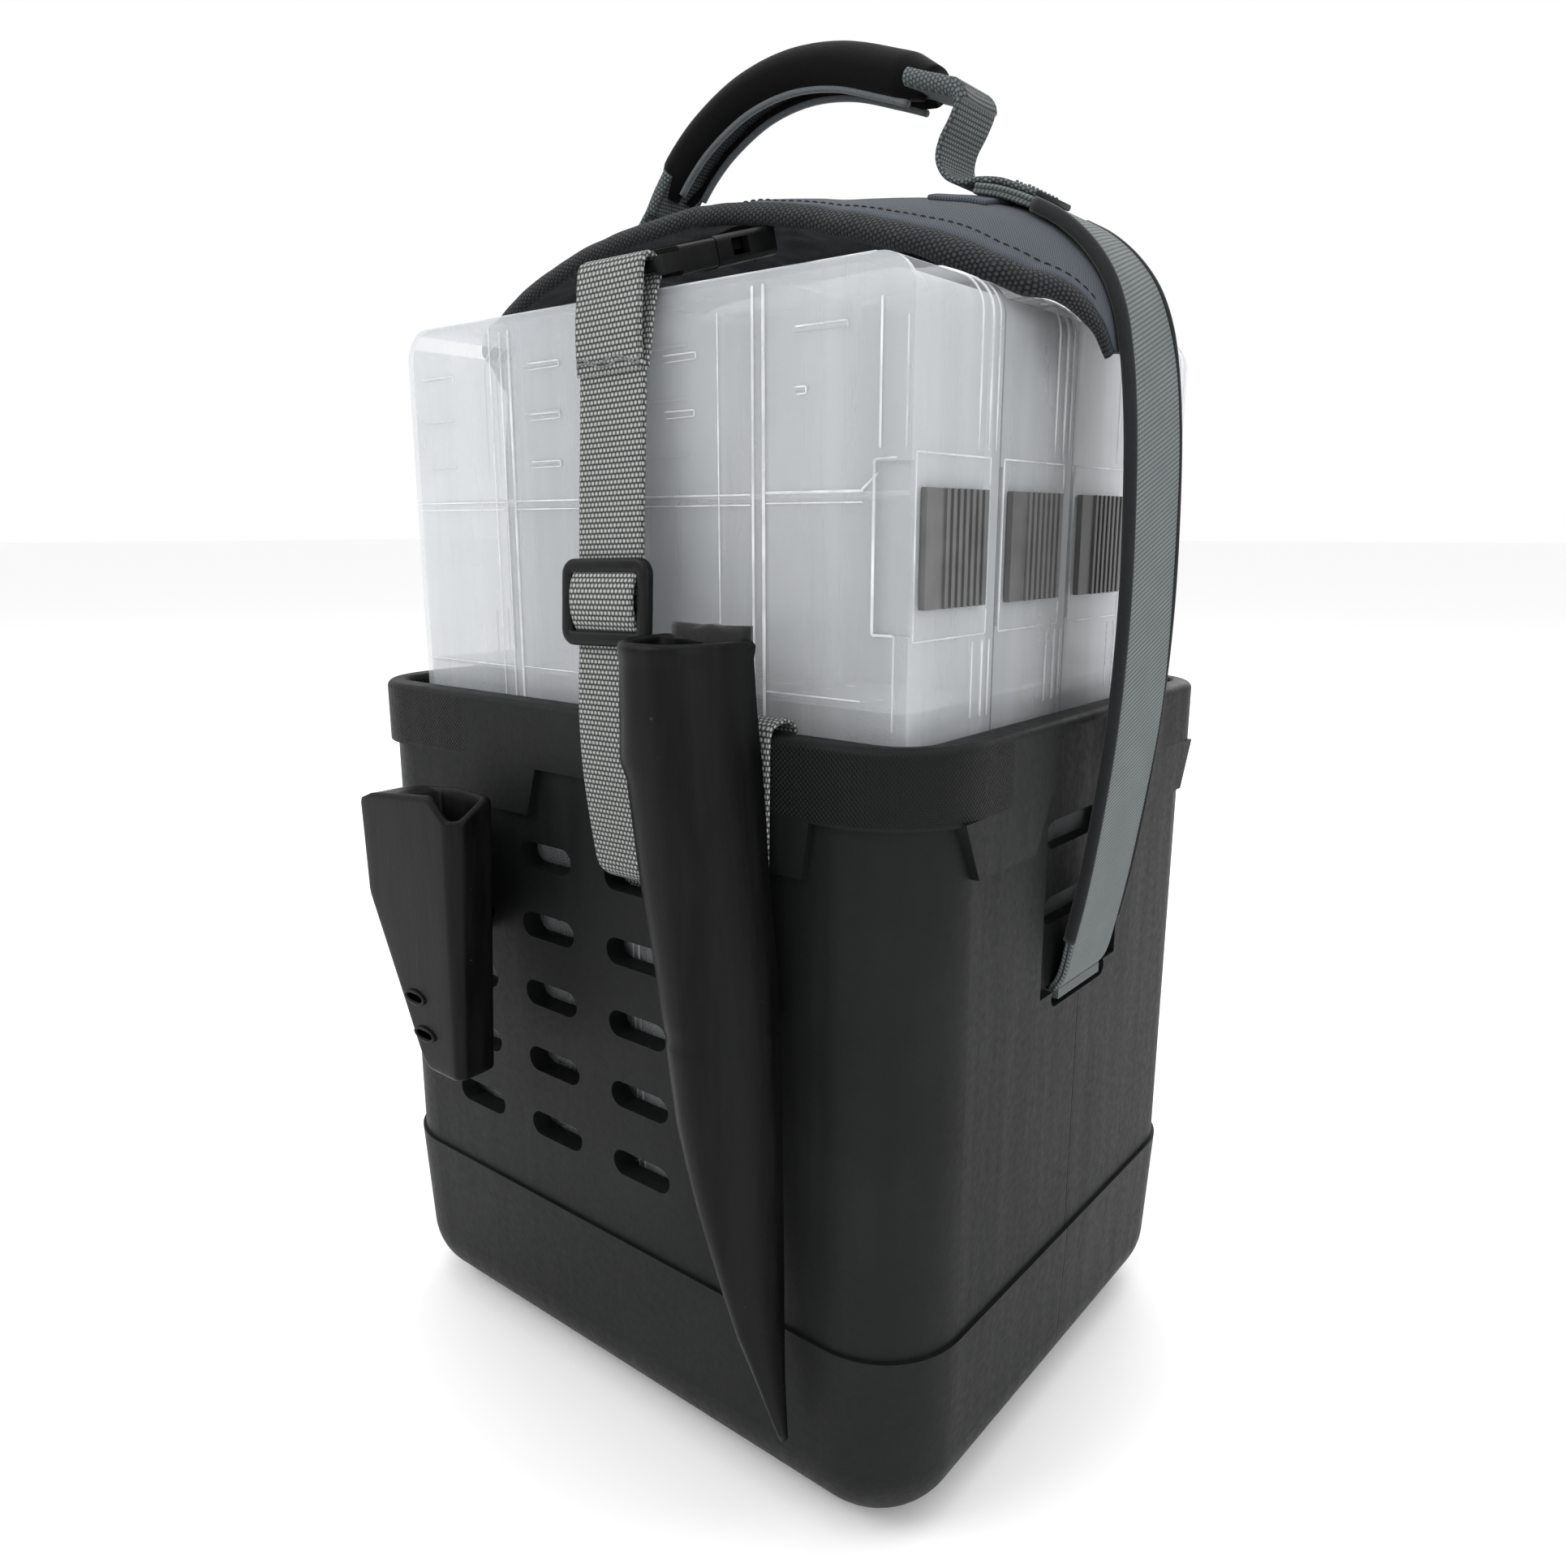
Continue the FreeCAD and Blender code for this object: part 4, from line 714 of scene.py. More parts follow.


# Thin bright tubes on every tray: the rim, hinge and end edges, and on the front tray its column walls, dividers, bay
# outline and moulded marks. They are drawn as painted highlights where light catches these edges.
XL, XR, ZT = -108.3, 123.7, 408.7
for n in (1, 2, 3, 4):
    yf = -100.1 + 50.1 * (n - 1)
    body = "bucket" if n == 1 else f"tray_{n}"
    P = []
    for dy, r in ((36.5, 0.45), (42.5, 0.55), (47.0, 0.4)):
        for sg, xe in ((1, XR), (-1, XL)):
            arc = [(xe - sg * 12 + sg * 12.15 * math.sin(math.radians(a)), yf + dy, ZT - 12 + 12.15 * math.cos(math.radians(a))) for a in range(90, -1, -10)]
            P.append(([(xe + sg * 0.15, yf + dy, 358.0), (xe + sg * 0.15, yf + dy, 370.0)] + arc + [(xe - sg * 24, yf + dy, ZT + 0.15), (xe - sg * 40, yf + dy, ZT + 0.15)], r))
            P.append((seg((xe + sg * 0.15, yf + dy, 277), (xe + sg * 0.15, yf + dy, 301.5)), r))
    P.append((seg((XR + 0.15, yf + 2.5, 303.4), (XR + 0.15, yf + 2.5, 356.0)), 0.4))
    P.append((seg((XR + 0.15, yf + 2.5, 356.0), (XR + 0.15, yf + 44, 356.0)), 0.45))
    P.append((seg((XR + 0.15, yf + 2.5, 303.4), (XR + 0.15, yf + 44, 303.4)), 0.45))
    P.append((seg((XR + 0.15, yf + 44, 303.4), (XR + 0.15, yf + 44, 311.0)), 0.4))
    P.append((seg((XR + 0.15, yf + 44, 348.0), (XR + 0.15, yf + 44, 356.0)), 0.4))
    P.append((seg((XL + 13, yf + 1.2, ZT + 0.1), (XR - 13, yf + 1.2, ZT + 0.1)), 0.4))
    P.append((seg((XL + 13, yf + 48.3, ZT + 0.1), (XR - 13, yf + 48.3, ZT + 0.1)), 0.4))
    if n == 1:
        F = yf - 0.12
        # column-wall lines; the line at x 113.4 is a painted highlight on the flat front, with no edge of its own
        for x, z0, z1, r in ((-51.4, 56, 404, 0.35), (-46.6, 56, 404, 0.6), (8.6, 56, 404, 0.4), (11.6, 56, 404, 0.5), (53.0, 300, 399, 0.3), (67.0, 56, 405, 0.55), (71.2, 56, 405, 0.7), (-57.5, 56, 406, 0.3), (113.4, 357, 397, 0.45)):
            P.append((seg((x, F, z0), (x, F, z1)), r))
        # painted highlight down the front tray's rounded right corner
        P.append((seg((120.6, yf + 2.3, 357), (120.6, yf + 2.3, 392)), 0.4))
        for x0, x1, z, r in ((-106, -52, 344.6, 0.35), (-106, -52, 342.0, 0.3), (-46, 8, 344.9, 0.35), (-46, 8, 342.0, 0.3), (12, 66, 345.3, 0.4), (12, 66, 342.2, 0.3), (72, 108, 345.7, 0.6), (72, 108, 342.6, 0.3), (72, 108, 285.4, 0.4), (-46, 8, 284.6, 0.35), (-106, -52, 284.2, 0.35)):
            P.append((seg((x0, F, z), (x1, F, z)), r))
        for x0, x1, z in ((-36.6, -20.0, 391.6), (-36.6, -20.5, 374.6), (-36.6, -21.0, 358.4), (83.1, 101.8, 392.0), (83.1, 87.2, 375.4), (30.0, 44.0, 388.5), (30.0, 43.0, 371.5), (-99.7, -80.0, 390.6)):
            P.append((seg((x0, F, z), (x1, F, z)), 0.36))
            P.append((seg((x1, F, z), (x1, F, z - 1.9), 3), 0.3))
            if x0 > -90 and x1 < 100:
                P.append((seg((x1, F, z - 1.9), (x0 + 0.5, F, z - 2.1)), 0.22))
        P.append((seg((111.6, F, 305.1), (111.6, F, 354.2)), 0.6))
        P.append((seg((111.6, F, 354.2), (118.5, yf + 0.9, 354.6)), 0.5))
        P.append((seg((111.6, F, 305.1), (118.5, yf + 0.9, 305.1)), 0.6))
        P.append((seg((118.5, yf + 0.9, 305.1), (118.5, yf + 0.9, 277)), 0.4))
        P.append((seg((107.0, F, 345.7), (113.0, F, 350.5), 3), 0.5))
    P = [(p, r * 0.8) for p, r in P]
    o = tubes(f"tray_{n}_rim_highlight_lines", P, EDGE)
    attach(o, body)

# ------------------------------------------------------------------ front strap (flecked webbing, doubled above the bar stitch)
xc = lambda z: 15.3 + (409.0 - z) * 0.0285
A, B = (-106.6, 412.5), (-117.3, 277.5)


def fy(z):
    return B[0] + (z - B[1]) * (A[0] - B[0]) / (A[1] - B[1])


def fpt(y, z):
    return (xc(z), y, z)


X_DIR = (1.0, 0.0, 0.0)
low = [fpt(-101.6, 200), fpt(-101.7, 212), fpt(-103.6, 216.2), fpt(-108.5, 216.6), fpt(-112.6, 220.5), fpt(-114.0, 228.5), fpt(-116.2, 246), fpt(-117.2, 258), (xc(277), -117.4, 277.5)]
main = low + [fpt(fy(z), z) for z in (300, 325, 350, 372, 386)]
front = webbing("front_strap_main", main, X_DIR, [13.2, 13.2, 13.2, 13.5, 14.2, 14.8, 15, 15, 15, 15, 15, 15, 15, 15], 1.9, WEB_L, wob=0.7, seed=1)
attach(front, "bucket")
# upper doubled part: front layer to the fold round the buckle's bar, back layer down to the bar stitch
barc = (-103.25, 414.4)
back_l = [(xc(384), fy(384) + 1.0, 384.0), (xc(392), fy(392) + 2.2, 392.0), (xc(402), -104.2, 402.0), (xc(409), -101.9, 409.4)]
fold = [(xc(z), y, z) for y, z in [(-100.2, 413.6), (-101.2, 416.7), (-104.0, 418.2), (-106.9, 416.8), (-108.0, 413.0)]]
front_l = [(xc(z), fy(z) - 1.3 - 0.8 * math.sin(math.pi * (412 - z) / 28), z) for z in (407, 400, 393, 387, 383.5)]
up = webbing("front_strap_fold", back_l + fold + front_l, X_DIR, 15.0, 1.8, WEB_L, wob=0.35, seed=4, v0=3.0)
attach(up, "bucket")
bars = []
for k, dz in enumerate((0.0, 1.3)):
    zz = 386.2 + dz
    pts = [(xc(zz) - 14.6 + 29.2 * i / 12, fy(zz) - 2.55, zz + 0.9 * math.sin(i * 0.9 + k)) for i in range(13)]
    bars.append(stitches(f"front_bar_stitch_{k}", pts, (0, -1, 0), 1.5, 0.25, 0.42, THREAD))
for b in bars:
    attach(b, "bucket")
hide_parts("front_strap")
# webbing bulging over the slider's centre bar
zs = 311.5
bz = [(xc(z), fy(zs) - d, z) for z, d in ((zs - 12.4, 1.0), (zs - 9.0, 2.3), (zs - 5.5, 3.9), (zs, 4.6), (zs + 5.5, 3.9), (zs + 9.0, 2.3), (zs + 12.4, 1.0))]
bulge = webbing("slider_webbing", bz, X_DIR, 14.9, 1.7, WEB_L, step=1.2, v0=1.0)
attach(bulge, "slider")

# slider: rounded frame with a bar behind the webbing
t_ax = unit(np.array([-0.02839944, 0.07897960, 0.99647162]))
x_ax = unit(np.array([1.0, 0, 0]) - t_ax[0] * t_ax)
n_ax = np.cross(x_ax, t_ax)
sc = np.array([18.08, -114.61, 311.5])
loop = []
for cx, cz, a0 in ((14.6, 9.0, 0), (-14.6, 9.0, 90), (-14.6, -9.0, 180), (14.6, -9.0, 270)):
    for k in range(7):
        a = math.radians(a0 + 15 * k)
        loop.append((cx + 3.2 * math.cos(a), cz + 2.8 * math.sin(a)))
loop.append(loop[0])
ln = np.array([sc + x_ax * a + t_ax * b + n_ax * 2.2 for a, b in loop])
mid = sc + n_ax * 2.2
out_dir = unit(ln - mid)
tt = unit(np.gradient(ln, axis=0))
tt[0] = tt[-1] = unit(ln[1] - ln[-2])
wd = unit(np.cross(tt, np.broadcast_to(n_ax, tt.shape)))


def frame_sec(i):
    return [(a, b, u) for a, b, u in [(2.5 * (abs(math.cos(q)) ** 0.6) * (1 if math.cos(q) > 0 else -1), 2.0 * (abs(math.sin(q)) ** 0.6) * (1 if math.sin(q) > 0 else -1), q) for q in [2 * math.pi * k / 16 for k in range(16)]]]


slider = sweep("triglide_frame", ln, wd, np.broadcast_to(n_ax, ln.shape), frame_sec, ACE, caps=False)
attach(slider, "slider")
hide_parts("triglide_slider")
bar = sweep("triglide_bar", np.array([sc + x_ax * a + n_ax * 1.6 for a in np.linspace(-16.0, 16.0, 9)]), np.broadcast_to(t_ax, (9, 3)), np.broadcast_to(n_ax, (9, 3)), lambda i: oval_section(2.6, 1.2, 12), ACE)
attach(bar, "slider")

# holder strap: over the rim behind the sheath
hp = [(74.5, -116.9, 232), (74.5, -116.6, 246), (74.3, -116.0, 262), (74.1, -115.6, 271), (74.0, -114.3, 276.2), (74.0, -110.5, 278.0), (74.0, -105.5, 277.9), (74.0, -102.6, 275.5), (74.0, -101.7, 269), (74.2, -101.6, 255), (74.2, -101.6, 240)]
hold_strap = webbing("holder_strap_web", hp, X_DIR, 12.0, 1.5, WEB_L, step=1.5, v0=9.0)
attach(hold_strap, "bucket")
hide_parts("holder_strap")

# ------------------------------------------------------------------ hood
RIDGE = [(0, 451.0), (25, 450.5), (45, 449.3), (65, 447.2), (85, 444.0), (100, 440.3), (112, 435.8), (122, 430.2), (131, 422.6), (138.5, 413.0), (143.2, 402.0), (145.6, 390.0)]
RX = [p[0] for p in RIDGE]
ridge_line, ridge_s, _ = curve([(x, 0, z) for x, z in RIDGE], 2.0)
ridge_line = np.vstack([ridge_line[:0:-1] * np.array([-1, 1, 1]), ridge_line])
NR = len(ridge_line)
S_MM = np.concatenate([[0], np.cumsum(np.linalg.norm(np.diff(ridge_line, axis=0), axis=1))])
S_MM -= S_MM[-1] / 2
# cover half width and the front edge's extra droop against |x|
W_FRONT = ([-146, -140, -130, -118, -100, -60, 0, 60, 90, 110, 122, 131, 138, 143, 146], [17, 29, 42, 50, 52, 51, 49, 50, 52, 52, 50, 45, 37, 28, 19])
W_REAR = ([-146, -140, -130, -118, -100, -60, 0, 60, 100, 118, 130, 140, 146], [17, 24, 31, 36, 38, 39, 39, 39, 38, 36, 31, 24, 17])
DROOP = ([-146, -142, -118, -107, -78, -40, 0, 23, 40, 58, 89, 107, 118, 130, 138, 143, 146], [1.5, 4, 10, 11.5, 5.8, 2.1, 0.4, 1.0, 3.6, 7.5, 10.8, 12.4, 12.8, 10.5, 6.5, 3.5, 1.0])


def lerp(table, x):
    return float(np.interp(x, table[0], table[1]))


Yv = np.array([0.0, 1.0, 0.0])
Tn = unit(np.gradient(ridge_line, axis=0))
Nn = np.cross(np.broadcast_to(Yv, Tn.shape), Tn)  # along +X the normal is up and out
Nn *= np.sign(Nn[NR // 2][2])


def hood_point(i, f, off=0.0):
    """Point of the hood's outer surface: station i along the arch, f from -1 (front edge) to 1 (rear edge)."""
    p, n = ridge_line[i], Nn[i]
    x = p[0]
    w = lerp(W_FRONT, x) if f < 0 else lerp(W_REAR, x)
    y = f * w
    flat = min(1.0, max(0.0, (148 - abs(x)) / 20))
    drop = (276 - math.sqrt(276 * 276 - y * y)) * flat
    extra = lerp(DROOP, x) * (abs(f) ** 1.8) if f < 0 else 2.0 * (f ** 2) * flat
    wr = (0.9 * noise.noise(Vector((x * 0.035, y * 0.05, 3.1))) + 0.45 * noise.noise(Vector((x * 0.09, y * 0.11, 9.2)))) * (0.35 + 0.65 * abs(f)) * flat
    q = p.copy()
    q[1] += y
    q = q + n * (wr + off)
    q[2] -= drop + extra
    return q


cols = 28
verts, faces, uv, fm = [], [], [], []
for i in range(NR):
    for j in range(cols + 1):
        verts.append(hood_point(i, -1 + 2 * j / cols))
nl = len(verts)
for i in range(NR):
    for j in range(cols + 1):
        verts.append(hood_point(i, -1 + 2 * j / cols, -3.2 - (1.5 * abs(math.sin(i * 0.23 + j * 0.12)) ** 1.5 + 0.9 * noise.noise(Vector((i * 0.31, j * 0.25, 5.0)))) * math.sin(math.pi * j / cols) ** 0.5))
for i in range(NR - 1):
    for j in range(cols):
        a = i * (cols + 1) + j
        q = (a, a + 1, a + cols + 2, a + cols + 1)
        ya = [verts[k][1] for k in q]
        sa = [S_MM[i], S_MM[i], S_MM[i + 1], S_MM[i + 1]]
        faces.append(q)
        uv.append(list(zip(ya, sa)))
        fm.append(0)
        faces.append(tuple(k + nl for k in reversed(q)))
        uv.append(list(zip(reversed(ya), reversed(sa))))
        fm.append(1)
for i in range(NR - 1):
    for j, fl in ((0, 1), (cols, 0)):
        a = i * (cols + 1) + j
        q = (a, a + cols + 1, a + cols + 1 + nl, a + nl)
        faces.append(q if fl else q[::-1])
        uv.append([(0, 0)] * 4)
        fm.append(0)
for i in (0, NR - 1):
    for j in range(cols):
        a = i * (cols + 1) + j
        q = (a, a + 1, a + 1 + nl, a + nl)
        faces.append(q if i else q[::-1])
        uv.append([(0, 0)] * 4)
        fm.append(0)
hood = make("hood_cover_cloth", verts, faces, HOODM, uv, mats=[HOODM, LINING], face_mat=fm)
fix_normals(hood)
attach(hood, "hood")
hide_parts("hood_cover")


def patch(name, xr, yr, off, thick, mat, n=14, m=18, skew=0.0):
    """Cloth patch lying on the hood between two stations, off mm above its surface."""
    xs_all = ridge_line[:, 0]
    top, low, uvp = [], [], []
    for a in range(n + 1):
        x = xr[0] + (xr[1] - xr[0]) * a / n
        for b in range(m + 1):
            y = yr[0] + (yr[1] - yr[0]) * b / m
            xx = x + skew * y
            i = float(np.interp(xx, xs_all, range(NR)))
            i0 = min(NR - 2, int(i))
            t = i - i0
            f = y / (lerp(W_FRONT, xx) if y < 0 else lerp(W_REAR, xx))
            p = hood_point(i0, f, off) * (1 - t) + hood_point(i0 + 1, f, off) * t
            q = hood_point(i0, f, off - thick) * (1 - t) + hood_point(i0 + 1, f, off - thick) * t
            top.append(p)
            low.append(q)
            uvp.append((y, float(np.interp(i, range(NR), S_MM))))
    N1 = m + 1
    k = len(top)
    faces, uv = [], []
    for a in range(n):
        for b in range(m):
            q = (a * N1 + b, a * N1 + b + 1, (a + 1) * N1 + b + 1, (a + 1) * N1 + b)
            faces.append(q)
            uv.append([uvp[c] for c in q])
            faces.append(tuple(c + k for c in reversed(q)))
            uv.append([uvp[c] for c in reversed(q)])
    ring = [(0, b) for b in range(m)] + [(a, m) for a in range(n)] + [(n, b) for b in range(m, 0, -1)] + [(a, 0) for a in range(n, 0, -1)]
    for j in range(len(ring)):
        a, b = ring[j]
        c, d = ring[(j + 1) % len(ring)]
        q = (a * N1 + b, c * N1 + d, c * N1 + d + k, a * N1 + b + k)
        faces.append(q)
        uv.append([uvp[q[0]], uvp[q[1]], uvp[q[1]], uvp[q[0]]])
    o = make(name, top + low, faces, mat, uv)
    fix_normals(o)
    bevel(o, 0.5, 2, 50)
    return o


def binding(name, f_edge, flip, width=6.6, thick=3.4):
    pts, Ws, Ns = [], [], []
    for i in range(NR):
        e = hood_point(i, f_edge, -1.2)
        inner = hood_point(i, f_edge * 0.9, -1.2)
        d = unit(e - inner)
        x = abs(ridge_line[i][0])
        k = np.interp(x, [0, 110, 130, 141, 146], [1.0, 1.0, 0.92, 0.7, 0.42])
        bulge_r = 1 + 0.06 * noise.noise(Vector((S_MM[i] * 0.08, f_edge, 0)))
        # the tape's face leans down and outwards, so it is seen from the front
        tilt = math.radians(34)
        Wd = unit(d * math.cos(tilt) + np.array([0, 0, -1.0]) * math.sin(tilt))
        pts.append(e + Wd * 3.2 * k)
        Ws.append(Wd * k * bulge_r)
        Ns.append(k * bulge_r)
    line = np.array(pts)
    T = unit(np.gradient(line, axis=0))
    W = unit(np.array(Ws) - (np.array(Ws) * T).sum(1, keepdims=True) * T)
    N = np.cross(W, T)
    ks = np.array(Ns)

    def sec(i):
        out = []
        for a, b, u in oval_section(width, thick, 22):
            # fuller at the rolled edge, thin at the sewn edge
            g = 1.0 + 0.22 * (a / width)
            out.append((a * ks[i], b * g * ks[i] * (0.85 if a < -width * 0.6 else 1.0), u))
        return out

    return sweep(name, line, W, N, sec, BIND)


bf = binding("hood_binding_front_roll", -1.0, False, 5.0, 3.0)
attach(bf, "hood")
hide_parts("hood_binding_front")
br = binding("hood_binding_rear_roll", 1.0, True, 5.4, 3.0)
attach(br, "hood")
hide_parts("hood_binding_rear")
rows = []
for f, nm in ((-0.87, "front"),):
    pts = [hood_point(i, f, 0.1) for i in range(8, NR - 8)]
    rows.append(stitches(f"hood_stitch_{nm}", pts[::2], (0, 0, 1), 2.4, 1.1, 0.32, THREAD_D))
for r in rows:
    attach(r, "hood")

# ------------------------------------------------------------------ side straps
SIDE = [(93.0, 443.7), (100, 441.9), (107, 439.2), (114.5, 435.7), (124.0, 430.2), (133.0, 422.4), (140.6, 412.5), (145.6, 401.0), (148.6, 388.0), (150.9, 370.0), (152.4, 345.0), (153.0, 310.0), (151.6, 275.0), (148.6, 245.0), (144.4, 215.0), (140.6, 195.0), (137.2, 180.5), (134.0, 175.2)]
for name, sg in (("right", 1), ("left", -1)):
    hw = [19] * 13 + [19, 19, 18.6, 18.0, 17.6]
    for layer, (off, mat_) in enumerate(((2.6, WEB_G), (0.6, WEB_G))):
        pts = []
        for k, (x, z) in enumerate(SIDE):
            pts.append((sg * (x + (off - 1.3) * (0.9 if z < 400 else 0.45)), 0, z + ((off - 1.3) * 0.7 if z > 400 else 0)))
        w = webbing(f"side_strap_{name}_{layer}", pts, (0, 1, 0), [h - 0.5 * layer for h in hw], 1.7, mat_, v0=layer * 4.0, wob=0.6, seed=11 + sg)
        w.data.materials[0] = mat_
        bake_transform(w)
        if layer == 0:
            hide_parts("side_strap_" + name)
    # dark rolled seam down the strap's front and back edges
    for e, yy in (("front", -18.9), ("back", 18.9)):
        line, s, _ = curve([(sg * (x + 0.3), yy, z) for x, z in SIDE[3:-2]], 2.0)
        T, W, N = frames(line, (0, 1, 0))
        seam = sweep(f"side_seam_{name}_{e}", line, W, N, lambda i: oval_section(1.15, 2.3, 12), mat_thread(f"seam_{name}_{e}", (0.020, 0.022, 0.024)) if False else THREAD_D)
        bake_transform(seam)
    # fabric tab over the strap's sewn upper end
    tabp = patch(f"strap_tab_{name}_cloth", sorted((sg * 79.0, sg * 101.0)), (-25.0, 25.0), 1.5, 1.5, HOODM)
    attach(tabp, "hood")
    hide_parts("strap_tab_" + name)
    st = stitches(f"tab_stitch_{name}", [(sg * 95.5, y, 446.9 - y * y / 420) for y in (-17, -8.5, 0, 8.5, 17)], (sg * 0.2, 0, 1), 2.4, 1.2, 0.34, THREAD)
    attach(st, "hood")

# ------------------------------------------------------------------ handle
GP = [(-58.0, 468.5), (-47.5, 479.5), (-36.0, 488.0), (-16.0, 497.0), (6.0, 500.2), (28.0, 497.6), (50.0, 490.2), (66.0, 484.0)]
line, s, _ = curve([(x, 0, z) for x, z in GP], 1.6)
T, W, N = frames(line, (0, 1, 0))
if N[len(N) // 2][2] < 0:
    N = -N
L = s[-1]


def grip_sec(i):
    """Folded neoprene sleeve: round over the top, open slit underneath with its two lips apart."""
    e = min(1.0, 0.72 + 0.28 * min(s[i], L - s[i]) / 10.0)
    a, b, wall = 12.4 * e, 8.8 * e, 3.2
    out = []
    n = 26
    for k in range(n + 1):
        th = math.radians(-62 + 304 * k / n)
        out.append((a * math.cos(th) * (1.0 if math.sin(th) > -0.2 else 0.96), b * math.sin(th), 60 * k / n))
    for k in range(n, -1, -1):
        th = math.radians(-62 + 304 * k / n)
        out.append(((a - wall) * math.cos(th), (b - wall) * math.sin(th), 70 + 50 * k / n))
    return out


grip = sweep("handle_grip_sleeve", line, W, N, grip_sec, NEO)
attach(grip, "handle")
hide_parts("handle_grip")
for e, sg in (("front", -1), ("back", 1)):
    off = np.array([sg * 12.4 * 0.50, -8.8 * 0.86])
    ln = line + W * off[0] + N * off[1]
    pipe = sweep(f"grip_piping_{e}", ln[3:-3], W[3:-3], N[3:-3], lambda i: oval_section(1.5, 1.2, 10), PIPE)
    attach(pipe, "handle")
core = webbing("handle_core_web", [(-62, 0, 463.2), (-58, 0, 467.4), (-47.5, 0, 477.9), (-36, 0, 486.4), (-16, 0, 495.5), (6, 0, 498.6), (28, 0, 496.0), (50, 0, 488.6), (68, 0, 482.4), (76, 0, 479.2)], (0, 1, 0), 10.5, 2.2, WEB_H)
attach(core, "handle")
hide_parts("handle_webbing")


def wrap(name, pts, half, thick, node):
    o = webbing(name, pts, (0, 1, 0), half, thick, WEB_H, step=1.2, crown=0.8)
    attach(o, "handle")
    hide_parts(node)
    return o


wrap("handle_wrap_right_web", [(60.5, 0, 486.2), (68, 0, 483.2), (76.5, 0, 480.0), (81.0, 0, 477.2), (82.0, 0, 474.0)], [12.6, 12.8, 12.8, 12.4, 11.8], 5.6, "handle_wrap_right")
wrap("handle_wrap_left_web", [(-52.0, 0, 475.0), (-58.5, 0, 467.8), (-63.5, 0, 461.8)], [12.8, 12.6, 12.0], 6.0, "handle_wrap_left")
# right end: doubled webbing that hangs in an S from the wrap to the hood
sr = [(76.0, 0, 481.5), (80.5, 0, 480.0), (82.2, 0, 475.6), (79.4, 0, 469.0), (75.6, 0, 463.0), (74.6, 0, 457.4), (77.6, 0, 451.8), (83.8, 0, 448.6), (90.5, 0, 448.2), (98.5, 0, 446.6), (106.0, 0, 443.4), (112.5, 0, 440.4)]
o = webbing("handle_end_right_web", sr, (0, 1, 0), [12.0, 12.2, 12.2, 12.2, 12.2, 12.3, 12.4, 12.5, 12.5, 12.5, 12.5, 12.5], 2.0, WEB_H, step=1.4)
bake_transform(o)
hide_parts("handle_tab_right")
sl = [(-57.0, 0, 469.5), (-61.5, 0, 464.6), (-66.0, 0, 459.6), (-70.2, 0, 455.2), (-76.0, 0, 451.2), (-84.0, 0, 449.2), (-92.0, 0, 448.2), (-100.0, 0, 445.8), (-110.0, 0, 441.6)]
o = webbing("handle_end_left_web", sl, (0, 1, 0), [12.0, 12.2, 12.3, 12.5, 12.5, 12.5, 12.5, 12.5, 12.5], 2.6, WEB_H, step=1.4)
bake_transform(o)
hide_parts("handle_tab_left")
for sg, nm in ((1, "right"), (-1, "left")):
    for k, xx in enumerate((104.0, 108.5)):
        z = np.interp(xx, [98.5, 106, 112.5], [446.6, 443.4, 440.4]) if sg > 0 else np.interp(xx, [100, 110], [445.8, 441.6])
        st = stitches(f"handle_box_stitch_{nm}_{k}", [(sg * xx, y, z + 1.5) for y in (-11, -5, 0, 5, 11)], (sg * 0.35, 0, 1), 2.0, 0.8, 0.36, THREAD)
        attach(st, "hood")

# buckle tab webbing
bt = [(16.0, -54.0, 424.2), (16.0, -56.4, 428.6), (16.0, -55.0, 432.0), (16.0, -50.0, 434.6), (16.0, -43.0, 437.6), (16.0, -34.0, 441.6)]
o = webbing("buckle_tab_web", bt, X_DIR, 14.4, 1.6, WEB_D, step=1.4)
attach(o, "hood")
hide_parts("buckle_tab")

# ------------------------------------------------------------------ tool holders
def loft(name, rings, mat, uvscale=1.0, cap_low=True, cap_high=False):
    k = len(rings[0])
    verts = [p for r in rings for p in r]
    faces = []
    for i in range(len(rings) - 1):
        for j in range(k):
            j2 = (j + 1) % k
            faces.append((i * k + j, i * k + j2, (i + 1) * k + j2, (i + 1) * k + j))
    if cap_low:
        c = len(verts)
        verts.append(np.mean(rings[0], axis=0))
        faces += [(c, j, (j + 1) % k) for j in range(k)]
    if cap_high:
        c = len(verts)
        b = (len(rings) - 1) * k
        verts.append(np.mean(rings[-1], axis=0))
        faces += [(c, b + (j + 1) % k, b + j) for j in range(k)]
    o = make(name, verts, faces, mat)
    fix_normals(o)
    return o


SH = [(38.0, 94.0, 96.0, -121.4), (41.5, 93.2, 95.8, -122.8), (47.0, 92.2, 95.6, -124.6), (57.0, 90.6, 95.2, -127.8), (70.0, 88.3, 95.0, -132.0), (83.0, 85.4, 94.8, -136.2), (102.0, 81.2, 94.7, -140.6), (117.0, 77.8, 94.5, -143.6), (131.0, 74.2, 94.3, -146.0), (145.0, 70.2, 94.2, -147.5), (158.0, 66.9, 94.0, -148.5), (184.0, 63.2, 93.2, -149.5), (205.0, 60.0, 92.0, -150.0), (234.0, 53.6, 88.9, -150.2), (254.0, 50.4, 87.4, -150.2), (263.0, 48.8, 86.6, -150.1), (268.5, 45.6, 86.1, -150.0), (283.0, 46.1, 84.4, -149.6), (302.0, 46.5, 83.0, -149.0)]
SZ = [r[0] for r in SH]


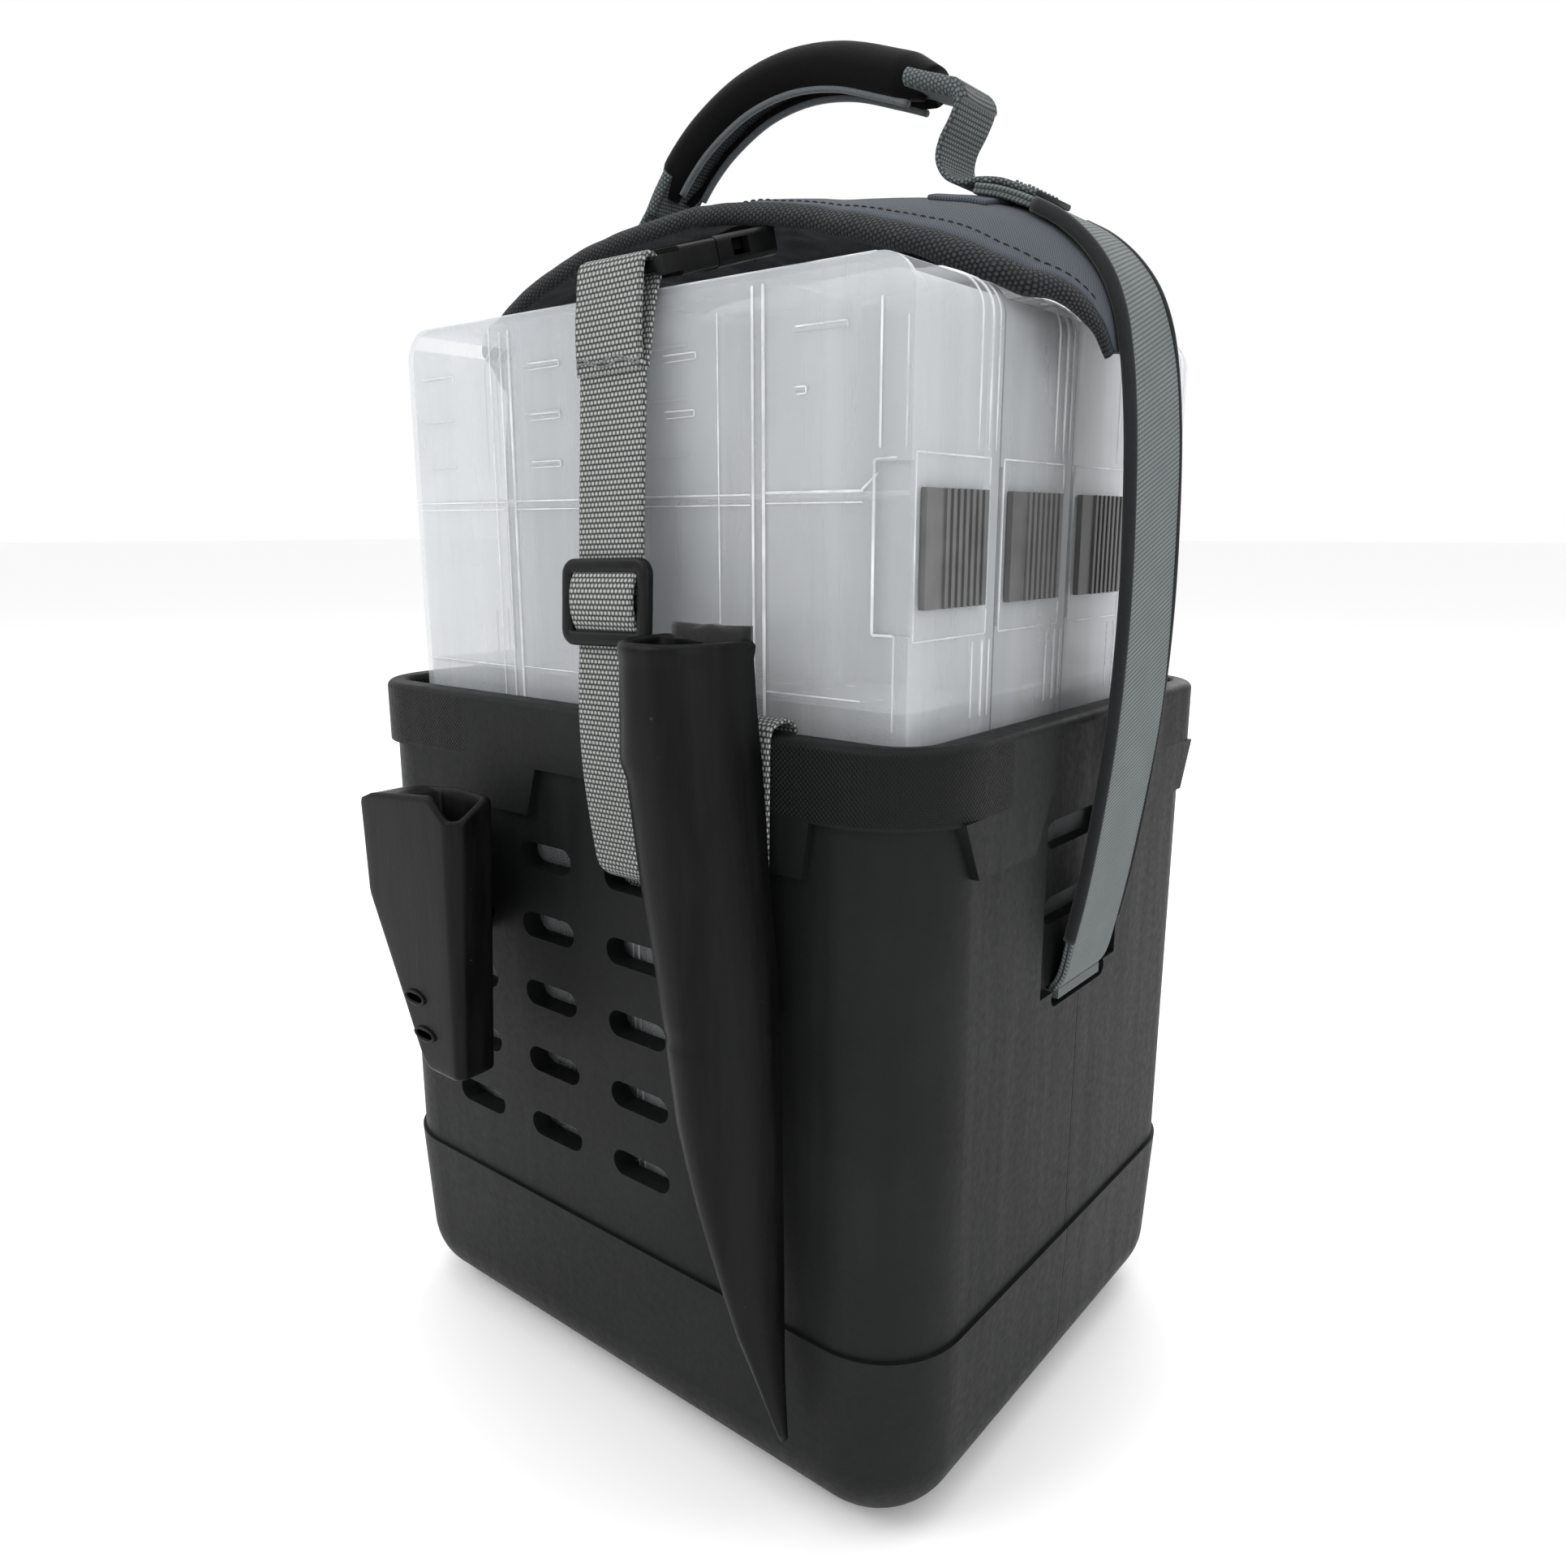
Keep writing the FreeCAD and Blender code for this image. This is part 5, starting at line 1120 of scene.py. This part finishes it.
def sheath_ring(z, inset=0.0, n=34, lean=0.0):
    a = np.interp(z, SZ, [r[1] for r in SH]) + inset
    b = np.interp(z, SZ, [r[2] for r in SH]) - inset
    crown = np.interp(z, SZ, [r[3] for r in SH]) + inset
    back = -118.6 - inset * 0.7
    m, w = (a + b) / 2, (b - a) / 2
    pts = []
    for i in range(n + 1):
        th = math.pi * (1 - i / n)
        c, sn = math.cos(th), math.sin(th)
        x = m + w * (abs(c) ** 0.86) * (1 if c > 0 else -1)
        y = back - 0.8 - (back - 0.8 - crown) * sn ** 0.72
        pts.append((x, y, z + lean * (0.5 - 0.5 * c)))
    for i in range(1, 8):
        pts.append((b - (b - a) * i / 8, back, z + lean * (1 - i / 8)))
    return [np.array(p) for p in pts]


zs_out = list(np.linspace(38, 301.0, 90))
rings = []
for z in zs_out:
    if z > 299.8:
        continue
    r = sheath_ring(z)
    k = 0.7 * math.exp(-((z - 186) / 1.8) ** 2)  # ring line a third of the way up
    if k > 0.01:
        c = np.mean(r, axis=0)
        r = [p + unit(c - p) * k for p in r]
    rings.append(r)
lip = [(300.6, -0.5), (302.0, -0.6), (303.1, 0.1), (303.6, 1.2), (303.0, 2.3), (301.8, 2.7)]
for z, ins in lip:
    rings.append(sheath_ring(z, ins))
for z in (294, 280, 250, 220, 190, 165, 150):
    rings.append(sheath_ring(z, 2.7))
o = loft("tool_sheath_skin", rings, HOLD, cap_low=True, cap_high=True)
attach(o, "bucket")
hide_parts("tool_sheath")
# back wall of the sheath's mouth, standing a little above the lip
bw = []
for z in (262, 275, 290, 300, 305.6, 306.8):
    t_ = 1.4 if z < 306 else 0.8
    xa, xb = 50.5, 81.5
    r = []
    for x in np.linspace(xa, xb, 12):
        r.append(np.array([x, -118.6 - t_ - 0.5 * math.sin((x - xa) / (xb - xa) * math.pi), z + 0.6 * math.sin(x * 0.4) * (z > 305)]))
    for x in np.linspace(xb, xa, 12):
        r.append(np.array([x, -117.6, z + 0.6 * math.sin(x * 0.4) * (z > 305)]))
    bw.append(r)
o = loft("tool_sheath_back", bw, mat_thread("sheath_lining", (0.012, 0.012, 0.013)), cap_low=True, cap_high=True)
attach(o, "bucket")

# plier pocket: chamfered section, flat facets, open top with a thick lip
PT = [(-86.3, -137.0), (-86.3, -145.4), (-83.2, -150.2), (-76.0, -150.3), (-40.5, -150.4), (-31.0, -150.4), (-25.7, -146.8), (-25.5, -139), (-25.6, -133.2), (-50, -133.0), (-86.0, -133.2)]
PB = [(-57.0, -137.5), (-56.6, -145.0), (-52.8, -149.2), (-50.0, -149.3), (-40.5, -149.4), (-34.6, -149.4), (-32.4, -147.0), (-32.4, -139), (-32.8, -133.2), (-43, -133.0), (-56.6, -133.2)]
IT = [(-52.0, -138.0), (-52.0, -143.4), (-50.0, -147.2), (-49.0, -147.3), (-40.0, -147.4), (-31.9, -147.4), (-29.0, -144.8), (-28.8, -139), (-29.0, -136.0), (-42, -136.0), (-51.8, -136.0)]


def rounded_poly(P, r=2.0, n=4):
    P = [np.array(p, float) for p in P]
    out = []
    for i, p in enumerate(P):
        a, b = P[i - 1], P[(i + 1) % len(P)]
        u, v = unit(a - p), unit(b - p)
        rr = min(r, 0.45 * np.linalg.norm(a - p), 0.45 * np.linalg.norm(b - p))
        for k in range(n + 1):
            t = k / n
            out.append((1 - t) ** 2 * (p + u * rr) + 2 * t * (1 - t) * p + t * t * (p + v * rr))
    return out


def pocket_ring(z, inset=0.0, dz=None):
    t = min(1.0, max(0.0, (z - 138.5) / (240.0 - 138.5)))
    # the left edge leans in two stages
    tl = np.interp(t, [0, 0.05, 0.62, 1.0], [0, 0.12, 0.97, 1.0])
    P = []
    for q, w in zip(PB, PT):
        k = tl if q[0] < -45 else t
        P.append((q[0] + (w[0] - q[0]) * k, q[1] + (w[1] - q[1]) * t))
    if inset:  # towards the mouth's own outline, which leaves the left end of the plate solid
        g = inset / 3.1
        sh = 0.45 * (1 - t)
        Q = [(w[0] + (-48 - w[0]) * sh, w[1]) for w in IT]
        P = [(p[0] + (w[0] - p[0]) * g, p[1] + (w[1] - p[1]) * g) for p, w in zip(P, Q)]
    R = rounded_poly(P)
    out = []
    for x, y in R:
        lift = 0.0
        if z > 225:  # the top edge dips in a notch at the front right corner, and its left corner is cut off
            front = np.interp(x, [-86, -82, -76, -40, -31, -26], [-6.5, -1.5, 0.3, 3.8, -4.0, -3.6])
            rear = np.interp(x, [-86, -82, -76, -40, -26], [-6.5, -1.5, 0.3, 4.0, 2.5])
            q = min(1.0, max(0.0, (-136 - y) / 10))
            lift = (front * q + rear * (1 - q)) * (z - 225) / 15
        out.append(np.array([x, y, z + lift]))
    return out


rings = []
base = pocket_ring(138.5)
cb = np.mean(base, axis=0)
for k in (0.55, 0.9, 0.975):
    rings.append([np.array([cb[0] + (p[0] - cb[0]) * k, cb[1] + (p[1] - cb[1]) * k, 137.6 + (0.9 if k > 0.95 else 0.1 if k > 0.8 else 0)]) for p in base])
for z in np.linspace(139.6, 238.2, 40):
    rings.append(pocket_ring(z))
for z, ins in ((239.3, 0.05), (240.1, 0.6), (240.5, 1.5), (240.1, 2.4), (239.2, 3.0)):
    rings.append(pocket_ring(z, ins))
for z in (230, 215, 200, 180, 160, 145):
    rings.append(pocket_ring(z, 3.1))
o = loft("plier_pocket_skin", rings, HOLD, cap_low=True, cap_high=True)
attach(o, "bucket")
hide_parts("plier_holder")
# two small slots low on the pocket's front, as dark recesses with raised rims
for k, (xx, zz) in enumerate(((-56.6, 165.3), (-52.0, 151.8))):
    t = (zz - 138.5) / 101.5
    yy = -149.5 - 0.8 * t
    pts = []
    for i in range(24):
        th = 2 * math.pi * i / 24
        pts.append((xx + 5.6 * math.cos(th), yy - 0.25, zz + 2.2 * math.sin(th)))
    rim = sweep(f"plier_slot_rim_{k}", np.array([pts[i % 24] for i in range(25)]), np.array([unit(np.array(pts[i % 24]) - np.array([xx, yy, zz])) for i in range(25)]), np.array([[0, -1, 0]] * 25, float), lambda i: oval_section(0.9, 0.55, 8), HOLD, caps=False)
    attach(rim, "bucket")
    disc = make(f"plier_slot_dark_{k}", [(xx, yy - 0.16, zz)] + [(xx + 5.3 * math.cos(2 * math.pi * i / 24), yy - 0.18, zz + 1.9 * math.sin(2 * math.pi * i / 24)) for i in range(24)], [(0, 1 + i, 1 + (i + 1) % 24) for i in range(24)], Mat(f"slot_shadow_{k}", (0.0003, 0.0003, 0.0003), 0.95, Specular_IOR_Level=0.0).m, smooth=False)
    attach(disc, "bucket")


# ------------------------------------------------------------------ padded back and shoulder straps
def cushion(name, outline, y_back, y_front, mat, body, node, pressure=4.0, cap=7.0, voxel=0.0055, bend=None):
    """Stuffed pad from a closed outline in XZ (mm), swollen by cloth simulation."""
    bm = bmesh.new()
    lo = [bm.verts.new(Vector((x, y_back, z)) * MM) for x, z in outline]
    hi = [bm.verts.new(Vector((x, y_front, z)) * MM) for x, z in outline]
    bm.faces.new(lo)
    bm.faces.new(hi[::-1])
    n = len(outline)
    for i in range(n):
        bm.faces.new((lo[i], hi[i], hi[(i + 1) % n], lo[(i + 1) % n]))
    bmesh.ops.recalc_face_normals(bm, faces=bm.faces)
    me = bpy.data.meshes.new(name)
    bm.to_mesh(me)
    bm.free()
    o = bpy.data.objects.new(name, me)
    scene.collection.objects.link(o)
    bpy.context.view_layer.objects.active = o
    r = o.modifiers.new("remesh", "REMESH")
    r.mode = "VOXEL"
    r.voxel_size = voxel
    dg = bpy.context.evaluated_depsgraph_get()
    me2 = bpy.data.meshes.new_from_object(o.evaluated_get(dg))
    o.modifiers.clear()
    o.data = me2
    start = np.array([v.co[:] for v in me2.vertices])
    c = o.modifiers.new("cloth", "CLOTH")
    c.settings.quality = 5
    c.settings.mass = 0.3
    c.settings.use_pressure = True
    c.settings.uniform_pressure_force = pressure
    c.settings.effector_weights.gravity = 0
    c.settings.tension_stiffness = 15
    c.settings.compression_stiffness = 15
    c.settings.bending_stiffness = 1.5
    scene.frame_start, scene.frame_end = 1, 20
    c.point_cache.frame_start, c.point_cache.frame_end = 1, 20
    for f in range(1, 21):
        scene.frame_set(f)
    dg = bpy.context.evaluated_depsgraph_get()
    me3 = bpy.data.meshes.new_from_object(o.evaluated_get(dg))
    o.modifiers.clear()
    end = np.array([v.co[:] for v in me3.vertices])
    mv = end - start
    ln = np.linalg.norm(mv, axis=1, keepdims=True)
    mv = mv * np.minimum(1, cap * MM / np.maximum(ln, 1e-9))
    pts = start + mv
    scene.frame_set(1)
    me2.vertices.foreach_set("co", pts.reshape(-1))
    me2.materials.clear()
    me2.materials.append(mat)
    for p in me2.polygons:
        p.use_smooth = True
    me2.update()
    return o


def outline_round(x0, x1, z0, z1, r, n=8):
    pts = []
    for cx, cz, a0 in ((x1 - r, z1 - r, 0), (x0 + r, z1 - r, 90), (x0 + r, z0 + r, 180), (x1 - r, z0 + r, 270)):
        for k in range(n + 1):
            a = math.radians(a0 + 90 * k / n)
            pts.append((cx + r * math.cos(a), cz + r * math.sin(a)))
    return pts


panel = cushion("back_panel_pad", outline_round(-94, 94, 46, 258, 22), 117.0, 126.5, PAD, "bucket", "back_panel", 4.0, 5.0)
# sewn channels: the pad is pulled in along two vertical and two horizontal lines
co = np.array([v.co[:] for v in panel.data.vertices]) / MM
for cx in (-34.0, 34.0):
    g = np.exp(-((co[:, 0] - cx) / 4.0) ** 2) * (co[:, 1] > 121) * np.clip((co[:, 2] - 52) / 20, 0, 1) * np.clip((252 - co[:, 2]) / 20, 0, 1)
    co[:, 1] -= 4.2 * g
for cz in (110.0, 182.0):
    g = np.exp(-((co[:, 2] - cz) / 4.0) ** 2) * (co[:, 1] > 121) * np.clip((88 - abs(co[:, 0])) / 10, 0, 1)
    co[:, 1] -= 3.4 * g
co[:, 1] = np.clip(co[:, 1], 115.2, 131.5)
panel.data.vertices.foreach_set("co", (co * MM).reshape(-1))
panel.data.update()
sub = panel.modifiers.new("sub", "SUBSURF")
sub.levels = sub.render_levels = 1
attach(panel, "bucket")
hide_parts("back_panel")
edge = outline_round(-96, 96, 44, 260, 23, 10)
eline = np.array([(x, 119.5, z) for x, z in edge + edge[:1]])
eline, _, _ = curve(eline, 3.0)
T = unit(np.gradient(eline, axis=0))
Wd = np.broadcast_to(np.array([0.0, 1.0, 0.0]), eline.shape)
o = sweep("back_panel_binding", eline, Wd, np.cross(Wd, T), lambda i: oval_section(4.0, 1.9, 12), BIND, caps=False)
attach(o, "bucket")

Y1 = 131.0
SP = [(Y1 + 2.0, 226.0), (Y1 + 7.0, 236.0), (Y1 + 8.0, 249.0), (Y1 + 13.5, 257.0), (Y1 + 21.5, 255.0), (Y1 + 27.0, 240.0), (Y1 + 29.3, 205.0), (Y1 + 29.0, 165.0), (Y1 + 25.5, 125.0)]
WPp = [(Y1 + 26.2, 133.0), (Y1 + 24.4, 118.0), (Y1 + 20.0, 98.0), (Y1 + 11.0, 74.0), (Y1 + 3.6, 59.0), (Y1 + 1.9, 47.0)]
for name, sg in (("right", 1), ("left", -1)):
    cx = sg * 54.0
    line, s, (hw, th) = curve([(cx, y, z) for y, z in SP], 2.2, ([21, 22, 24, 27, 28, 28, 28, 25, 19], [3.2, 4.6, 5.0, 5.2, 5.3, 5.3, 5.3, 5.0, 3.0]))
    T, W, N = frames(line, X_DIR)

    def pad_sec(i):
        out, n = [], 30
        for k in range(n):
            a = 2 * math.pi * k / n
            c, sn = math.cos(a), math.sin(a)
            x = hw[i] * (abs(c) ** 0.55) * (1 if c > 0 else -1)
            t = th[i] * (abs(sn) ** 0.75) * (1 if sn > 0 else -1)
            t *= 1 - 0.10 * math.exp(-((s[i] % 26 - 13) / 3.0) ** 2)
            out.append((x, t, 120 * k / n))
        return out

    o = sweep(f"shoulder_strap_{name}_pad", line, W, N, pad_sec, PAD)
    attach(o, "bucket")
    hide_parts("shoulder_strap_" + name)
    for k, a in enumerate((-1, 1)):
        ln = line + W * (hw[:, None] - 0.4) * a
        b = sweep(f"shoulder_binding_{name}_{k}", ln[2:-2], W[2:-2], N[2:-2], lambda i: oval_section(1.8, 3.4, 12), BIND)
        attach(b, "bucket")
    w = webbing(f"shoulder_web_{name}", [(cx, y, z) for y, z in WPp], X_DIR, 12.3, 1.6, WEB_H, step=2.0)
    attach(w, "bucket")
    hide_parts("shoulder_webbing_" + name)

# ------------------------------------------------------------------ floor
bm = bmesh.new()
bmesh.ops.create_grid(bm, x_segments=1, y_segments=1, size=30.0)
me = bpy.data.meshes.new("floor")
bm.to_mesh(me)
bm.free()
fl = Mat("floor_pale", (0.95, 0.95, 0.95), 0.8)
me.materials.append(fl.m)
floor = bpy.data.objects.new("floor", me)
floor.location.z = -0.0005
scene.collection.objects.link(floor)
